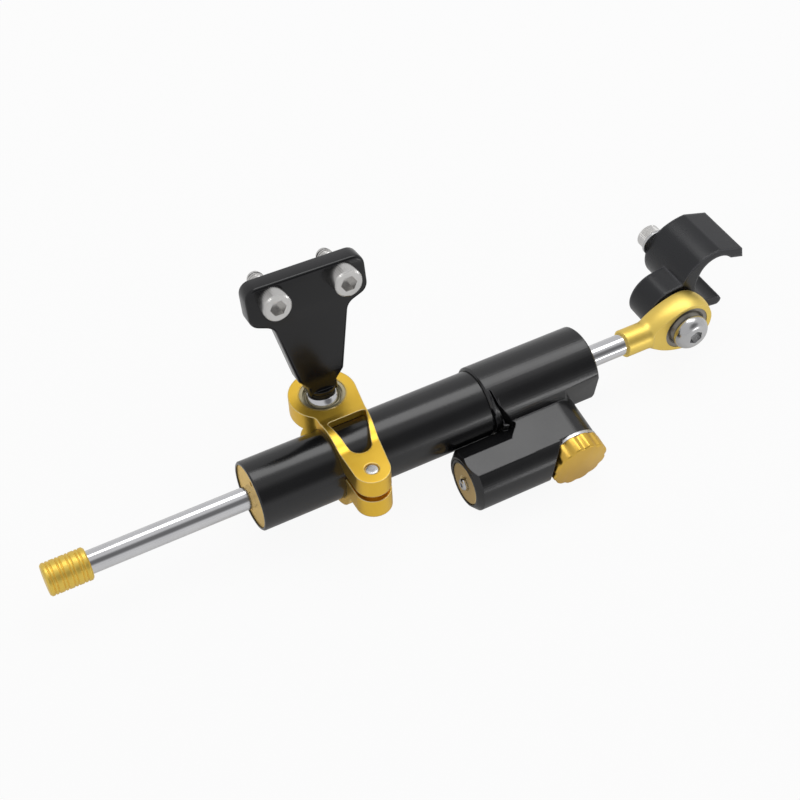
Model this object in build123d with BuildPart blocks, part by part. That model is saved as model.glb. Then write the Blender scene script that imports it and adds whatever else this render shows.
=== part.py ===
"""Motorcycle steering damper: a through-rod hydraulic damper with a clicker knob, a gold clamp
and black frame bracket on its barrel, and a rod end that carries a black C-shaped hook bracket.

Millimetres. The origin is on the rod axis, level with the clamp's ball. +X runs along the rod
towards the rod end, -Y along the knob's axis, +Z out of the flat on the reservoir."""

import os
from math import atan2, cos, pi, radians, sin, sqrt

from build123d import *

os.makedirs("parts", exist_ok=True)

# Fits shared by all pieces
fixed_gap = 0.02
running_gap = 0.03
overrun = 2.0
edge_break = 0.4

# Rod, piston and stroke
rod_r = 4.0
rod_left_bare = 57.3
rod_right_bare = 18.5
rod_stud_r = 3.0
rod_stud_length = 9.0
rod_grip = 12.0
piston_length = 9.0
piston_groove_depth = 1.6
piston_ring_width = 3.0
clip_height = 1.0
clip_width = 0.8
clip_seat = 0.5

# Barrel and its left gland
barrel_r = 12.5
barrel_bore_r = 10.5
barrel_left_x = -37.4
barrel_bare = 87.3
barrel_spigot_r = 11.6
barrel_spigot_length = 12.0
gland_r = 11.4
gland_length = 9.0
gland_sink = 0.4
spanner_hole_r = 1.0
spanner_hole_ring_r = 7.6
spanner_hole_depth = 3.0
bush_r = 6.0
bush_length = 8.0
seal_r = 7.0
seal_width = 3.0
guide_length = 8.0

# Housing: barrel socket, reservoir, bridge and knob boss in one block
housing_r = 13.65
housing_length = 43.5
housing_chamfer = 0.6
lip_width = 1.1
groove_r = 13.9
groove_shift = 1.6
groove_lean = 24.0
reservoir_r = 10.7
reservoir_left_x = 33.0
reservoir_y = -23.7
reservoir_z = -7.0
reservoir_bore_r = 8.0
reservoir_bore_length = 30.0
reservoir_chamfer = 2.0
flat_z = 2.9
bridge_left_x = 53.4
bridge_depth = 14.0
knob_x = 74.2
knob_z = -7.5
boss_face_y = -27.2
knob_relief = 1.2
side_flat_x = 79.0
side_flat_y = -12.0
side_corner_r = 4.0

# Reservoir: plug, filling screw and gas piston
plug_sink = 0.2
plug_length = 7.0
plug_dish_r = 2.9
plug_dish_depth = 0.5
ring_groove_depth = 1.1
ring_groove_width = 1.9
fill_screw_r = 1.5
fill_screw_head_r = 2.2
fill_screw_head_height = 2.0
fill_screw_length = 5.0
gas_piston_length = 8.0
gas_piston_place = 8.0

# Adjuster: knob, washer, spindle, bush, needle and click ball
knob_r = 10.8
knob_thickness = 6.0
knob_round = 0.7
knob_sink = 2.4
flute_count = 12
flute_r = 1.35
flute_depth = 0.95
washer_r = 10.6
washer_thickness = 1.2
spindle_r = 3.0
spindle_thread_r = 1.5
spindle_thread_length = 3.5
spindle_collar_r = 4.2
spindle_collar_width = 1.5
adjuster_bush_r = 6.0
adjuster_bush_length = 8.0
needle_r = 2.4
needle_length = 6.5
needle_point = 2.6
needle_tip_r = 0.8
needle_travel = 0.6
end_play = 0.1
port_r = 1.2
side_port_r = 0.6
click_ball_r = 1.0
click_ring_r = 8.3
click_spring_length = 3.2
click_spring_bore_r = 0.55
click_rise = 0.35

# Cap on the rod's free end
cap_r = 5.7
cap_length = 14.8
cap_groove_width = 0.6
cap_groove_depth = 0.35
cap_groove_pairs = 4
cap_groove_pitch = 3.3
cap_pair_pitch = 1.2
cap_first_groove = 2.0

# Rod end and its spherical bearing
neck_r = 5.2
rod_end_reach = 25.9
flare_start = 16.8
flare_end = 14.4
flare_r = 5.9
crown_r = 11.3
crown_lead = 0.7
crown_meet_angle = 101.2
rod_end_half_width = 4.5
side_face_r = 15.3
rod_end_turn = 9.4
rod_race_r = 9.0
rod_race_half_width = 4.3
rod_ball_r = 7.94
rod_ball_half_width = 6.0
rod_bolt_r = 4.0
rod_bolt_grip = 11.0
button_r = 7.0
button_rim = 0.6
button_height = 4.4
button_hex = 5.0
button_hex_depth = 2.6

# Hook bracket at the rod end
hook_r = 13.5
hook_x = 17.1
hook_y = 7.45
hook_seat_r = 11.0
hook_seat_x = 21.4
hook_seat_y = 8.2
hook_seat_from = 158.0
hook_seat_to = 278.0
hook_length = 23.3
arm_thickness = 12.0
arm_boss_r = 10.2
hook_screw_x = 8.0
hook_screw_y = 12.1
hook_screw_r = 2.5
hook_screw_length = 16.0
hook_screw_head_r = 4.6
hook_screw_head_height = 5.0
hook_screw_hex = 4.0
hook_washer_r = 5.4
hook_washer_thickness = 1.0

# Clamp on the barrel
clamp_turn = 12.0
band_r = 15.2
band_blend_r = 8.0
eye_r = 12.0
eye_y = 19.0
eye_low = 7.0
eye_top = 14.0
tab_x = -1.0
tab_y = -20.0
tab_r = 6.3
tab_low = -4.0
tab_top = 13.0
split_low = 3.5
split_high = 5.9
flank_corner_r = 3.0
window_left = (-3.9, 3.3)
window_right = (7.4, 3.3)
window_foot = (0.5, -8.1)
window_corner_r = 1.4
window_foot_r = 4.1
clamp_screw_r = 2.5
clamp_screw_hex = 4.0
clamp_screw_head_r = 4.25
clamp_screw_head_height = 5.0
clamp_screw_sink = 0.2
clamp_head_sink = 0.3

# Clamp's spherical bearing
clamp_race_r = 8.0
clamp_race_width = 5.0
clamp_lip = 0.8
clamp_lip_r = 7.3
clamp_ball_r = 6.5
clamp_ball_width = 8.0
clamp_bore_r = 4.0
snap_ring_width = 1.0
snap_ring_r = 8.5
snap_ring_inner_r = 6.9
race_chamfer = 0.5

# Frame bracket on the clamp's ball
bracket_tilt = 9.0
bracket_spin = 2.0
bracket_thickness = 7.5
foot_collar_r = 4.9
foot_collar_height = 1.6
foot_r = 5.5
foot_half_width = 5.3
foot_height = 5.5
waist_half_width = 8.3
waist_height = 9.0
shoulder_half_width = 13.4
shoulder_height = 33.3
head_half_width = 21.2
head_low = 36.4
head_top = 50.4
shoulder_corner_r = 4.5
head_corner_r = 4.2
waist_corner_r = 1.5
bracket_bevel = 0.6
bracket_screw_pitch = 25.0
bracket_screw_height = 44.7
bracket_screw_r = 3.0
bracket_screw_length = 16.0
bracket_screw_head_r = 5.0
bracket_screw_head_height = 6.0
bracket_screw_hex = 5.0
bracket_hole_r = 3.3
bracket_shank_r = 2.9
foot_screw_r = 2.5
foot_screw_length = 12.0
foot_screw_head_r = 4.75
foot_screw_head_height = 2.75
foot_screw_hex = 3.0
foot_screw_hex_depth = 1.5
hex_depth_share = 0.55
thread_chamfer = 0.5

# Stations along the rod
housing_left_x = barrel_left_x + barrel_bare
housing_right_x = housing_left_x + housing_length
barrel_right_x = housing_left_x + barrel_spigot_length
cap_right_x = barrel_left_x - rod_left_bare
cap_left_x = cap_right_x - cap_length
collar_left_x = housing_right_x + rod_right_bare
rod_end_x = collar_left_x + rod_end_reach
guide_right_x = barrel_left_x + gland_sink + gland_length + guide_length
rear_bush_left_x = housing_right_x - seal_width - bush_length - edge_break
piston_x = (guide_right_x + rear_bush_left_x + rod_right_bare - rod_left_bare) / 2

# Stations along the knob's axis, counted from the rod axis outwards
boss_depth = -boss_face_y
washer_low = boss_depth + fixed_gap
washer_high = boss_depth + washer_thickness
knob_low = washer_high + end_play
knob_high = knob_low + knob_thickness
bush_low = boss_depth - adjuster_bush_length
collar_low = bush_low - spindle_collar_width
needle_tail = collar_low - needle_travel - end_play
needle_tip = needle_tail - needle_length
needle_seat = needle_tip - needle_travel - end_play
click_ball_height = knob_low + click_rise - click_ball_r
click_spring_top = click_ball_height - click_ball_r
click_hole_low = click_spring_top - click_spring_length

# Directions and planes
turn = radians(clamp_turn)
clamp_out = (0, sin(turn), cos(turn))
clamp_side = (0, cos(turn), -sin(turn))
clamp_plan = Plane(origin=(0, 0, 0), x_dir=(1, 0, 0), z_dir=clamp_out)
clamp_section = Plane(origin=(0, 0, 0), x_dir=clamp_side, z_dir=(1, 0, 0))
ball_height = eye_low + clamp_lip + clamp_race_width / 2
eye_centre = clamp_plan.from_local_coords((0, eye_y, ball_height))
lean = radians(clamp_turn + bracket_tilt)
spin = radians(bracket_spin)
bolt_dir = Vector(0, sin(lean), cos(lean))
face_flat = Vector(0, -cos(lean), sin(lean))
bracket_across = Vector(1, 0, 0) * cos(spin) + face_flat * sin(spin)
bracket_out = bracket_across.cross(bolt_dir)
foot_centre = eye_centre + bolt_dir * (clamp_ball_width / 2 + fixed_gap)
bracket_plan = Plane(origin=foot_centre, x_dir=bracket_across, z_dir=bracket_out)
clamp_bearing_axis = Plane(origin=eye_centre, x_dir=clamp_out, z_dir=(1, 0, 0))
clamp_ball_axis = Plane(origin=eye_centre, x_dir=bolt_dir, z_dir=(1, 0, 0))
foot_axis = Plane(origin=foot_centre, x_dir=bolt_dir, z_dir=(1, 0, 0))
rod_turn = radians(rod_end_turn)
rod_end_out = (0, -cos(rod_turn), sin(rod_turn))
rod_end_plan = Plane(origin=(rod_end_x, 0, 0), x_dir=(1, 0, 0), z_dir=rod_end_out)
rod_end_axis = Plane(origin=(rod_end_x, 0, 0), x_dir=rod_end_out, z_dir=(1, 0, 0))
knob_axis = Plane(origin=(knob_x, 0, knob_z), x_dir=(0, -1, 0), z_dir=(1, 0, 0))
click_axis = Plane(origin=(knob_x, 0, knob_z + click_ring_r), x_dir=(0, -1, 0), z_dir=(1, 0, 0))
reservoir_axis = Plane(origin=(0, reservoir_y, reservoir_z), x_dir=(1, 0, 0), z_dir=(0, 0, 1))


def turned(plane, points, mode=Mode.ADD):
    """Turn an outline of (along the axis, radius) points about the plane's X axis"""
    with BuildSketch(plane) as outline:
        with BuildLine():
            Polyline(*points, close=True)
        make_face()
    revolve(outline.sketch, axis=Axis(plane.origin, plane.x_dir), mode=mode)


def tube(plane, start, end, outer_r, inner_r=0.0, mode=Mode.ADD):
    """A plain bar or tube between two stations on the plane's X axis"""
    turned(plane, [(start, inner_r), (start, outer_r), (end, outer_r), (end, inner_r)], mode)


def hex_socket(plane, mouth, depth, across_flats):
    """Cut a hexagon socket into the end of a screw that lies on the plane's X axis"""
    start = Plane(origin=plane.from_local_coords((mouth, 0, 0)), z_dir=plane.x_dir)
    with BuildSketch(start) as hexagon:
        RegularPolygon(across_flats / 2, 6, major_radius=False)
    extrude(hexagon.sketch, amount=-depth, mode=Mode.SUBTRACT)


def cap_screw(plane, shank_r, length, head_r, head_height, across_flats):
    """Socket head screw: its head stands on the plane's origin towards +X, its shank goes -X"""
    chamfered_r = shank_r - thread_chamfer
    rim = head_height - edge_break
    outline = [(-length, 0), (-length, chamfered_r), (thread_chamfer - length, shank_r)]
    outline += [(0, shank_r), (0, head_r), (rim, head_r), (head_height, head_r - edge_break)]
    turned(plane, outline + [(head_height, 0)])
    hex_socket(plane, head_height, head_height * hex_depth_share, across_flats)


def button_screw(plane, shank_r, length, head_r, rim, head_height, across_flats, hex_depth):
    """Button head screw, its dome on the +X side of the plane's origin"""
    dome = head_height - rim
    shoulder = (rim + dome * sin(pi / 4), (head_r - dome) + dome * cos(pi / 4))
    crown_r = head_r - dome
    with BuildSketch(plane) as outline:
        with BuildLine():
            Polyline((head_height, 0), (-length, 0), (-length, shank_r), (0, shank_r), (0, head_r))
            Line((0, head_r), (rim, head_r))
            ThreePointArc((rim, head_r), shoulder, (head_height, crown_r))
            Line((head_height, crown_r), (head_height, 0))
        make_face()
    revolve(outline.sketch, axis=Axis(plane.origin, plane.x_dir))
    hex_socket(plane, head_height, hex_depth, across_flats)


def ball_ring(plane, ball_r, half_width, bore_r):
    """Inner ring of a spherical bearing: a ball with flat ends and a bore"""
    face_r = sqrt(ball_r**2 - half_width**2)
    with BuildSketch(plane) as outline:
        with BuildLine():
            Line((half_width, face_r), (half_width, bore_r))
            Line((half_width, bore_r), (-half_width, bore_r))
            Line((-half_width, bore_r), (-half_width, face_r))
            ThreePointArc((-half_width, face_r), (0, ball_r), (half_width, face_r))
        make_face()
    revolve(outline.sketch, axis=Axis(plane.origin, plane.x_dir))


def race_ring(plane, ball_r, half_width, outer_r):
    """Outer ring of a spherical bearing: a hollow ball track in a plain ring"""
    track_r = ball_r + running_gap
    mouth_r = sqrt(track_r**2 - half_width**2)
    lip_x = half_width - race_chamfer
    lip_r = sqrt(track_r**2 - lip_x**2)
    with BuildSketch(plane) as outline:
        with BuildLine():
            ThreePointArc((-lip_x, lip_r), (0, track_r), (lip_x, lip_r))
            Polyline(
                (lip_x, lip_r),
                (half_width, mouth_r + 2 * race_chamfer),
                (half_width, outer_r),
                (-half_width, outer_r),
                (-half_width, mouth_r + 2 * race_chamfer),
                (-lip_x, lip_r),
            )
        make_face()
    revolve(outline.sketch, axis=Axis(plane.origin, plane.x_dir))


# Piston rod: chromed bar right through the damper, with a stud for the cap
rod_right_x = collar_left_x + rod_grip
with BuildPart() as piston_rod:
    tube(Plane.XY, cap_right_x, rod_right_x, rod_r)
    tube(Plane.XY, cap_right_x - rod_stud_length, cap_right_x, rod_stud_r)
    for side in (-1, 1):
        clip_x = piston_x + side * (piston_length / 2 + clip_width / 2)
        tube(
            Plane.XY,
            clip_x - clip_width / 2,
            clip_x + clip_width / 2,
            rod_r + overrun,
            rod_r - clip_seat,
            mode=Mode.SUBTRACT,
        )
piston_rod.part.label = "piston_rod"
export_step(piston_rod.part, "parts/piston_rod.step")

# Piston: a collar on the rod with a groove for its ring
piston_r = barrel_bore_r - 2 * running_gap
groove_floor_r = piston_r - piston_groove_depth
groove_half = piston_ring_width / 2 + running_gap
with BuildPart() as piston:
    half = piston_length / 2 - fixed_gap
    tube(Plane.XY, piston_x - half, piston_x + half, piston_r, rod_r + fixed_gap)
    tube(
        Plane.XY,
        piston_x - groove_half,
        piston_x + groove_half,
        barrel_r,
        groove_floor_r,
        mode=Mode.SUBTRACT,
    )
piston.part.label = "piston"
export_step(piston.part, "parts/piston.step")

# Piston ring: slides along the bore and lets the piston turn inside it
ring_half = piston_ring_width / 2
with BuildPart() as piston_ring:
    tube(
        Plane.XY,
        piston_x - ring_half,
        piston_x + ring_half,
        barrel_bore_r - running_gap,
        groove_floor_r + running_gap,
    )
piston_ring.part.label = "piston_ring"
export_step(piston_ring.part, "parts/piston_ring.step")

# Two spring clips that hold the piston on the rod
with BuildPart() as piston_clips:
    for side in (-1, 1):
        clip_x = piston_x + side * (piston_length / 2 + clip_width / 2)
        half = clip_width / 2 - fixed_gap
        clip_inner_r = rod_r - clip_seat + fixed_gap
        tube(Plane.XY, clip_x - half, clip_x + half, rod_r + clip_height, clip_inner_r)
piston_clips.part.label = "piston_clips"
export_step(piston_clips.part, "parts/piston_clips.step")

# Barrel: black tube, turned down at the right where it enters the housing
counterbore_length = gland_sink + gland_length
with BuildPart() as barrel_tube:
    tube(Plane.XY, barrel_left_x, housing_left_x, barrel_r)
    tube(Plane.XY, housing_left_x, barrel_right_x, barrel_spigot_r)
    tube(Plane.XY, barrel_left_x - overrun, barrel_right_x + overrun, barrel_bore_r, mode=Mode.SUBTRACT)
    tube(
        Plane.XY,
        barrel_left_x - overrun,
        barrel_left_x + counterbore_length,
        gland_r + fixed_gap,
        mode=Mode.SUBTRACT,
    )
    chamfer(edges().filter_by(GeomType.CIRCLE).group_by(Axis.X)[0].sort_by(SortBy.RADIUS)[-1], edge_break)
barrel_tube.part.label = "barrel_tube"
export_step(barrel_tube.part, "parts/barrel_tube.step")

# Gland nut: gold ring screwed into the barrel, with two pin spanner holes
gland_left_x = barrel_left_x + gland_sink
seal_left_x = gland_left_x + gland_length - seal_width
with BuildPart() as gland_nut:
    tube(Plane.XY, gland_left_x, gland_left_x + gland_length, gland_r, rod_r + 2 * running_gap)
    tube(
        Plane.XY,
        seal_left_x,
        gland_left_x + gland_length + overrun,
        seal_r + fixed_gap,
        mode=Mode.SUBTRACT,
    )
    with BuildSketch(Plane.YZ.offset(gland_left_x)):
        with Locations((0, spanner_hole_ring_r), (0, -spanner_hole_ring_r)):
            Circle(spanner_hole_r)
    extrude(amount=spanner_hole_depth, mode=Mode.SUBTRACT)
gland_nut.part.label = "gland_nut"
export_step(gland_nut.part, "parts/gland_nut.step")

# Front rod seal, in the back of the gland
with BuildPart() as front_seal:
    tube(Plane.XY, seal_left_x + fixed_gap, seal_left_x + seal_width, seal_r, rod_r + running_gap)
front_seal.part.label = "front_seal"
export_step(front_seal.part, "parts/front_seal.step")

# Front guide: aluminium carrier that the gland clamps, with its bronze bush
guide_left_x = gland_left_x + gland_length + fixed_gap
with BuildPart() as front_guide:
    tube(Plane.XY, guide_left_x, guide_right_x, barrel_bore_r - fixed_gap, bush_r + fixed_gap)
front_guide.part.label = "front_guide"
export_step(front_guide.part, "parts/front_guide.step")

with BuildPart() as front_bush:
    tube(Plane.XY, guide_left_x, guide_right_x, bush_r, rod_r + running_gap)
front_bush.part.label = "front_bush"
export_step(front_bush.part, "parts/front_bush.step")

# Housing: one black block that holds the barrel, the reservoir and the adjuster
boss_r = flat_z - knob_z
flat_meet_y = -sqrt(housing_r**2 - flat_z**2)
reservoir_bore_end_x = reservoir_left_x + reservoir_bore_length
seal_pocket_x = housing_right_x - edge_break - seal_width
with BuildPart() as adjuster_housing:
    tube(Plane.XY, housing_left_x, housing_right_x, housing_r)
    chamfer(edges().filter_by(GeomType.CIRCLE), housing_chamfer)
    # Groove behind the left lip, deepest on the reservoir's side
    groove_angle = radians(groove_lean)
    groove_centre = (0, groove_shift * cos(groove_angle), groove_shift * sin(groove_angle))
    groove_axis = Plane(origin=groove_centre, x_dir=(1, 0, 0), z_dir=(0, 0, 1))
    groove_left_x = housing_left_x + lip_width
    groove_outer_r = housing_r + groove_shift + overrun
    tube(groove_axis, groove_left_x, bridge_left_x, groove_outer_r, groove_r, mode=Mode.SUBTRACT)
    # Flat milled on the knob's side, to the right of the boss
    flat_right_x = housing_right_x + overrun
    flat_foot_z = knob_z + sqrt(boss_r**2 - (side_flat_x - knob_x) ** 2)
    with BuildSketch(Plane.XZ.offset(-side_flat_y)):
        with Locations(((side_flat_x + flat_right_x) / 2, 0)):
            Rectangle(flat_right_x - side_flat_x, 2 * housing_r + overrun)
        with Locations((knob_x, knob_z)):
            Circle(boss_r, mode=Mode.SUBTRACT)
        fillet(vertices().sort_by_distance((side_flat_x, flat_foot_z))[0], side_corner_r)
    extrude(amount=housing_r, mode=Mode.SUBTRACT)
    # Bridge from the barrel's axis out to the reservoir
    with BuildSketch(Plane.XY.offset(flat_z)):
        with Locations(((bridge_left_x + knob_x) / 2, (reservoir_y + side_flat_y) / 2)):
            Rectangle(knob_x - bridge_left_x, side_flat_y - reservoir_y)
    extrude(amount=-bridge_depth)
    # Reservoir barrel with its chamfered mouth
    with BuildSketch(Plane.YZ.offset(reservoir_left_x)):
        with Locations((reservoir_y, reservoir_z)):
            Circle(reservoir_r)
    extrude(amount=knob_x - reservoir_left_x)
    chamfer(edges().filter_by(GeomType.CIRCLE).group_by(Axis.X)[0], reservoir_chamfer)
    # Knob boss, tangent to the flat
    tube(knob_axis, -side_flat_y - overrun, boss_depth, boss_r)
    # The flat along reservoir and bridge
    cut_right_x = knob_x + boss_r
    cut_left_x = reservoir_left_x - overrun
    cut_low_y = boss_face_y - boss_r
    with BuildSketch(Plane.XY.offset(flat_z)):
        with Locations(((cut_left_x + cut_right_x) / 2, (flat_meet_y + cut_low_y) / 2)):
            Rectangle(cut_right_x - cut_left_x, flat_meet_y - cut_low_y)
    extrude(amount=housing_r, mode=Mode.SUBTRACT)
    # Room for the knob, cut round its axis in front of the boss
    relief_end = boss_depth + reservoir_r
    tube(knob_axis, boss_depth, relief_end, knob_r + knob_relief, mode=Mode.SUBTRACT)
    # Bores: barrel socket, oil space, rear bush, rear seal and rod
    socket_r = barrel_spigot_r + fixed_gap
    mouth_low_x = housing_left_x - overrun
    tube(Plane.XY, mouth_low_x, barrel_right_x + fixed_gap, socket_r, mode=Mode.SUBTRACT)
    tube(Plane.XY, housing_left_x, rear_bush_left_x, barrel_bore_r, mode=Mode.SUBTRACT)
    tube(Plane.XY, rear_bush_left_x - overrun, seal_pocket_x, bush_r + fixed_gap, mode=Mode.SUBTRACT)
    tube(Plane.XY, seal_pocket_x, housing_right_x + overrun, seal_r + fixed_gap, mode=Mode.SUBTRACT)
    # Reservoir bore, adjuster bore and the two oil ports that join them to the barrel
    tube(reservoir_axis, cut_left_x, reservoir_bore_end_x, reservoir_bore_r, mode=Mode.SUBTRACT)
    tube(knob_axis, collar_low, boss_depth + overrun, adjuster_bush_r + fixed_gap, mode=Mode.SUBTRACT)
    tube(knob_axis, needle_seat, boss_depth, needle_r + running_gap, mode=Mode.SUBTRACT)
    tube(knob_axis, 0, boss_depth, port_r, mode=Mode.SUBTRACT)
    side_port_y = -(collar_low + bush_low) / 2
    side_port_axis = Plane(origin=(0, side_port_y, knob_z), x_dir=(1, 0, 0), z_dir=(0, 0, 1))
    tube(side_port_axis, reservoir_bore_end_x - overrun, knob_x, side_port_r, mode=Mode.SUBTRACT)
    tube(click_axis, click_hole_low, boss_depth + overrun, click_ball_r + running_gap, mode=Mode.SUBTRACT)
adjuster_housing.part.label = "adjuster_housing"
export_step(adjuster_housing.part, "parts/adjuster_housing.step")

# Rear bush and rear rod seal in the housing's right end
with BuildPart() as rear_bush:
    tube(Plane.XY, rear_bush_left_x, seal_pocket_x - fixed_gap, bush_r, rod_r + running_gap)
rear_bush.part.label = "rear_bush"
export_step(rear_bush.part, "parts/rear_bush.step")

with BuildPart() as rear_seal:
    tube(Plane.XY, seal_pocket_x, housing_right_x - edge_break, seal_r, rod_r + running_gap)
rear_seal.part.label = "rear_seal"
export_step(rear_seal.part, "parts/rear_seal.step")

# Reservoir plug: gold, dished round the filling screw, with a seal ring in its groove
plug_left_x = reservoir_left_x + plug_sink
plug_right_x = plug_left_x + plug_length
plug_ring_x = plug_right_x - ring_groove_width
with BuildPart() as reservoir_plug:
    tube(reservoir_axis, plug_left_x, plug_right_x, reservoir_bore_r - fixed_gap)
    chamfer(edges().filter_by(GeomType.CIRCLE).group_by(Axis.X)[0], edge_break)
    tube(
        reservoir_axis,
        plug_ring_x - ring_groove_width / 2,
        plug_ring_x + ring_groove_width / 2,
        reservoir_bore_r + overrun,
        reservoir_bore_r - ring_groove_depth,
        mode=Mode.SUBTRACT,
    )
    dish_x = plug_left_x + plug_dish_depth
    tube(reservoir_axis, plug_left_x - overrun, dish_x, plug_dish_r, mode=Mode.SUBTRACT)
    tube(
        reservoir_axis,
        plug_left_x,
        dish_x + fill_screw_length + fixed_gap,
        fill_screw_r + fixed_gap,
        mode=Mode.SUBTRACT,
    )
reservoir_plug.part.label = "reservoir_plug"
export_step(reservoir_plug.part, "parts/reservoir_plug.step")


def seal_ring(x):
    """Rubber ring that fills a groove in the reservoir bore"""
    half = ring_groove_width / 2 - fixed_gap
    inner_r = reservoir_bore_r - ring_groove_depth + fixed_gap
    tube(reservoir_axis, x - half, x + half, reservoir_bore_r - fixed_gap, inner_r)


with BuildPart() as plug_ring:
    seal_ring(plug_ring_x)
plug_ring.part.label = "plug_ring"
export_step(plug_ring.part, "parts/plug_ring.step")

# Filling screw: small domed stainless screw in the plug's dish
fill_axis = Plane(origin=(dish_x, reservoir_y, reservoir_z), x_dir=(-1, 0, 0), z_dir=(0, 0, 1))
with BuildPart() as fill_screw:
    rim = fill_screw_head_height * hex_depth_share
    button_screw(
        fill_axis,
        fill_screw_r,
        fill_screw_length,
        fill_screw_head_r,
        rim,
        fill_screw_head_height,
        fill_screw_r,
        rim,
    )
fill_screw.part.label = "fill_screw"
export_step(fill_screw.part, "parts/fill_screw.step")

# Gas piston: floats in the reservoir between the gas and the oil
gas_piston_x = plug_right_x + gas_piston_place
gas_ring_x = gas_piston_x + gas_piston_length / 2
with BuildPart() as gas_piston:
    tube(reservoir_axis, gas_piston_x, gas_piston_x + gas_piston_length, reservoir_bore_r - running_gap)
    tube(
        reservoir_axis,
        gas_ring_x - ring_groove_width / 2,
        gas_ring_x + ring_groove_width / 2,
        reservoir_bore_r + overrun,
        reservoir_bore_r - ring_groove_depth,
        mode=Mode.SUBTRACT,
    )
gas_piston.part.label = "gas_piston"
export_step(gas_piston.part, "parts/gas_piston.step")

with BuildPart() as gas_piston_ring:
    seal_ring(gas_ring_x)
gas_piston_ring.part.label = "gas_piston_ring"
export_step(gas_piston_ring.part, "parts/gas_piston_ring.step")

# Washer under the knob, pierced for the click ball
spindle_bore_r = spindle_r + running_gap
with BuildPart() as knob_washer:
    tube(knob_axis, washer_low, washer_high, washer_r, spindle_bore_r)
    tube(click_axis, boss_depth, washer_high + overrun, click_ball_r + running_gap, mode=Mode.SUBTRACT)
knob_washer.part.label = "knob_washer"
export_step(knob_washer.part, "parts/knob_washer.step")

# Click ball and the small spring that lifts it into the knob's track
with BuildPart() as click_ball:
    with Locations(click_axis.from_local_coords((click_ball_height, 0, 0))):
        Sphere(click_ball_r)
click_ball.part.label = "click_ball"
export_step(click_ball.part, "parts/click_ball.step")

with BuildPart() as click_spring:
    tube(
        click_axis,
        click_hole_low + fixed_gap,
        click_spring_top - fixed_gap,
        click_ball_r - running_gap,
        click_spring_bore_r,
    )
click_spring.part.label = "click_spring"
export_step(click_spring.part, "parts/click_spring.step")

# Threaded bush that carries the spindle in the boss
with BuildPart() as adjuster_bush:
    tube(knob_axis, bush_low, boss_depth - fixed_gap, adjuster_bush_r, spindle_bore_r)
adjuster_bush.part.label = "adjuster_bush"
export_step(adjuster_bush.part, "parts/adjuster_bush.step")

# Spindle: turns with the knob, its collar under the bush, its thread in the needle
thread_end = collar_low - spindle_thread_length
spindle_top = knob_high - knob_sink
with BuildPart() as adjuster_spindle:
    tube(knob_axis, collar_low + fixed_gap, bush_low - fixed_gap, spindle_collar_r)
    tube(knob_axis, collar_low + fixed_gap, spindle_top - fixed_gap, spindle_r)
    tube(knob_axis, thread_end, collar_low + fixed_gap, spindle_thread_r)
adjuster_spindle.part.label = "adjuster_spindle"
export_step(adjuster_spindle.part, "parts/adjuster_spindle.step")

# Metering needle: slides along the axis as the spindle's thread turns in its tail
needle_bore_end = thread_end - needle_travel - end_play
with BuildPart() as metering_needle:
    turned(
        knob_axis,
        [
            (needle_tip, 0),
            (needle_tip, needle_tip_r),
            (needle_tip + needle_point, needle_r),
            (needle_tail, needle_r),
            (needle_tail, spindle_thread_r + running_gap),
            (needle_bore_end, spindle_thread_r + running_gap),
            (needle_bore_end, 0),
        ],
    )
metering_needle.part.label = "metering_needle"
export_step(metering_needle.part, "parts/metering_needle.step")

# Knob: gold, fluted rim and rounded face, with the click track turned in its underside
flute_ring_r = knob_r + flute_r - flute_depth
track_half = click_ball_r + running_gap
with BuildPart() as adjuster_knob:
    tube(knob_axis, knob_low, knob_high, knob_r)
    fillet(edges().filter_by(GeomType.CIRCLE).group_by(Axis.Y)[0], knob_round)
    knob_back = Plane(origin=(knob_x, -knob_low, knob_z), x_dir=(1, 0, 0), z_dir=(0, -1, 0))
    with BuildSketch(knob_back):
        with PolarLocations(flute_ring_r, flute_count):
            Circle(flute_r)
    extrude(amount=knob_thickness, mode=Mode.SUBTRACT)
    tube(knob_axis, knob_low, spindle_top, spindle_r + fixed_gap, mode=Mode.SUBTRACT)
    tube(
        knob_axis,
        knob_low - overrun,
        knob_low + click_rise + running_gap,
        click_ring_r + track_half,
        click_ring_r - track_half,
        mode=Mode.SUBTRACT,
    )
adjuster_knob.part.label = "adjuster_knob"
export_step(adjuster_knob.part, "parts/adjuster_knob.step")

# Rod cap: gold, with pairs of fine grooves round it
with BuildPart() as rod_cap:
    tube(Plane.XY, cap_left_x, cap_right_x - fixed_gap, cap_r)
    chamfer(edges().filter_by(GeomType.CIRCLE), edge_break)
    for pair in range(cap_groove_pairs):
        for side in (-1, 1):
            pair_x = cap_left_x + cap_first_groove + pair * cap_groove_pitch
            groove_x = pair_x + side * cap_pair_pitch / 2
            tube(
                Plane.XY,
                groove_x,
                groove_x + cap_groove_width,
                cap_r + overrun,
                cap_r - cap_groove_depth,
                mode=Mode.SUBTRACT,
            )
    tube(
        Plane.XY,
        cap_right_x - rod_stud_length - fixed_gap,
        cap_right_x + overrun,
        rod_stud_r + fixed_gap,
        mode=Mode.SUBTRACT,
    )
rod_cap.part.label = "rod_cap"
export_step(rod_cap.part, "parts/rod_cap.step")

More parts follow.
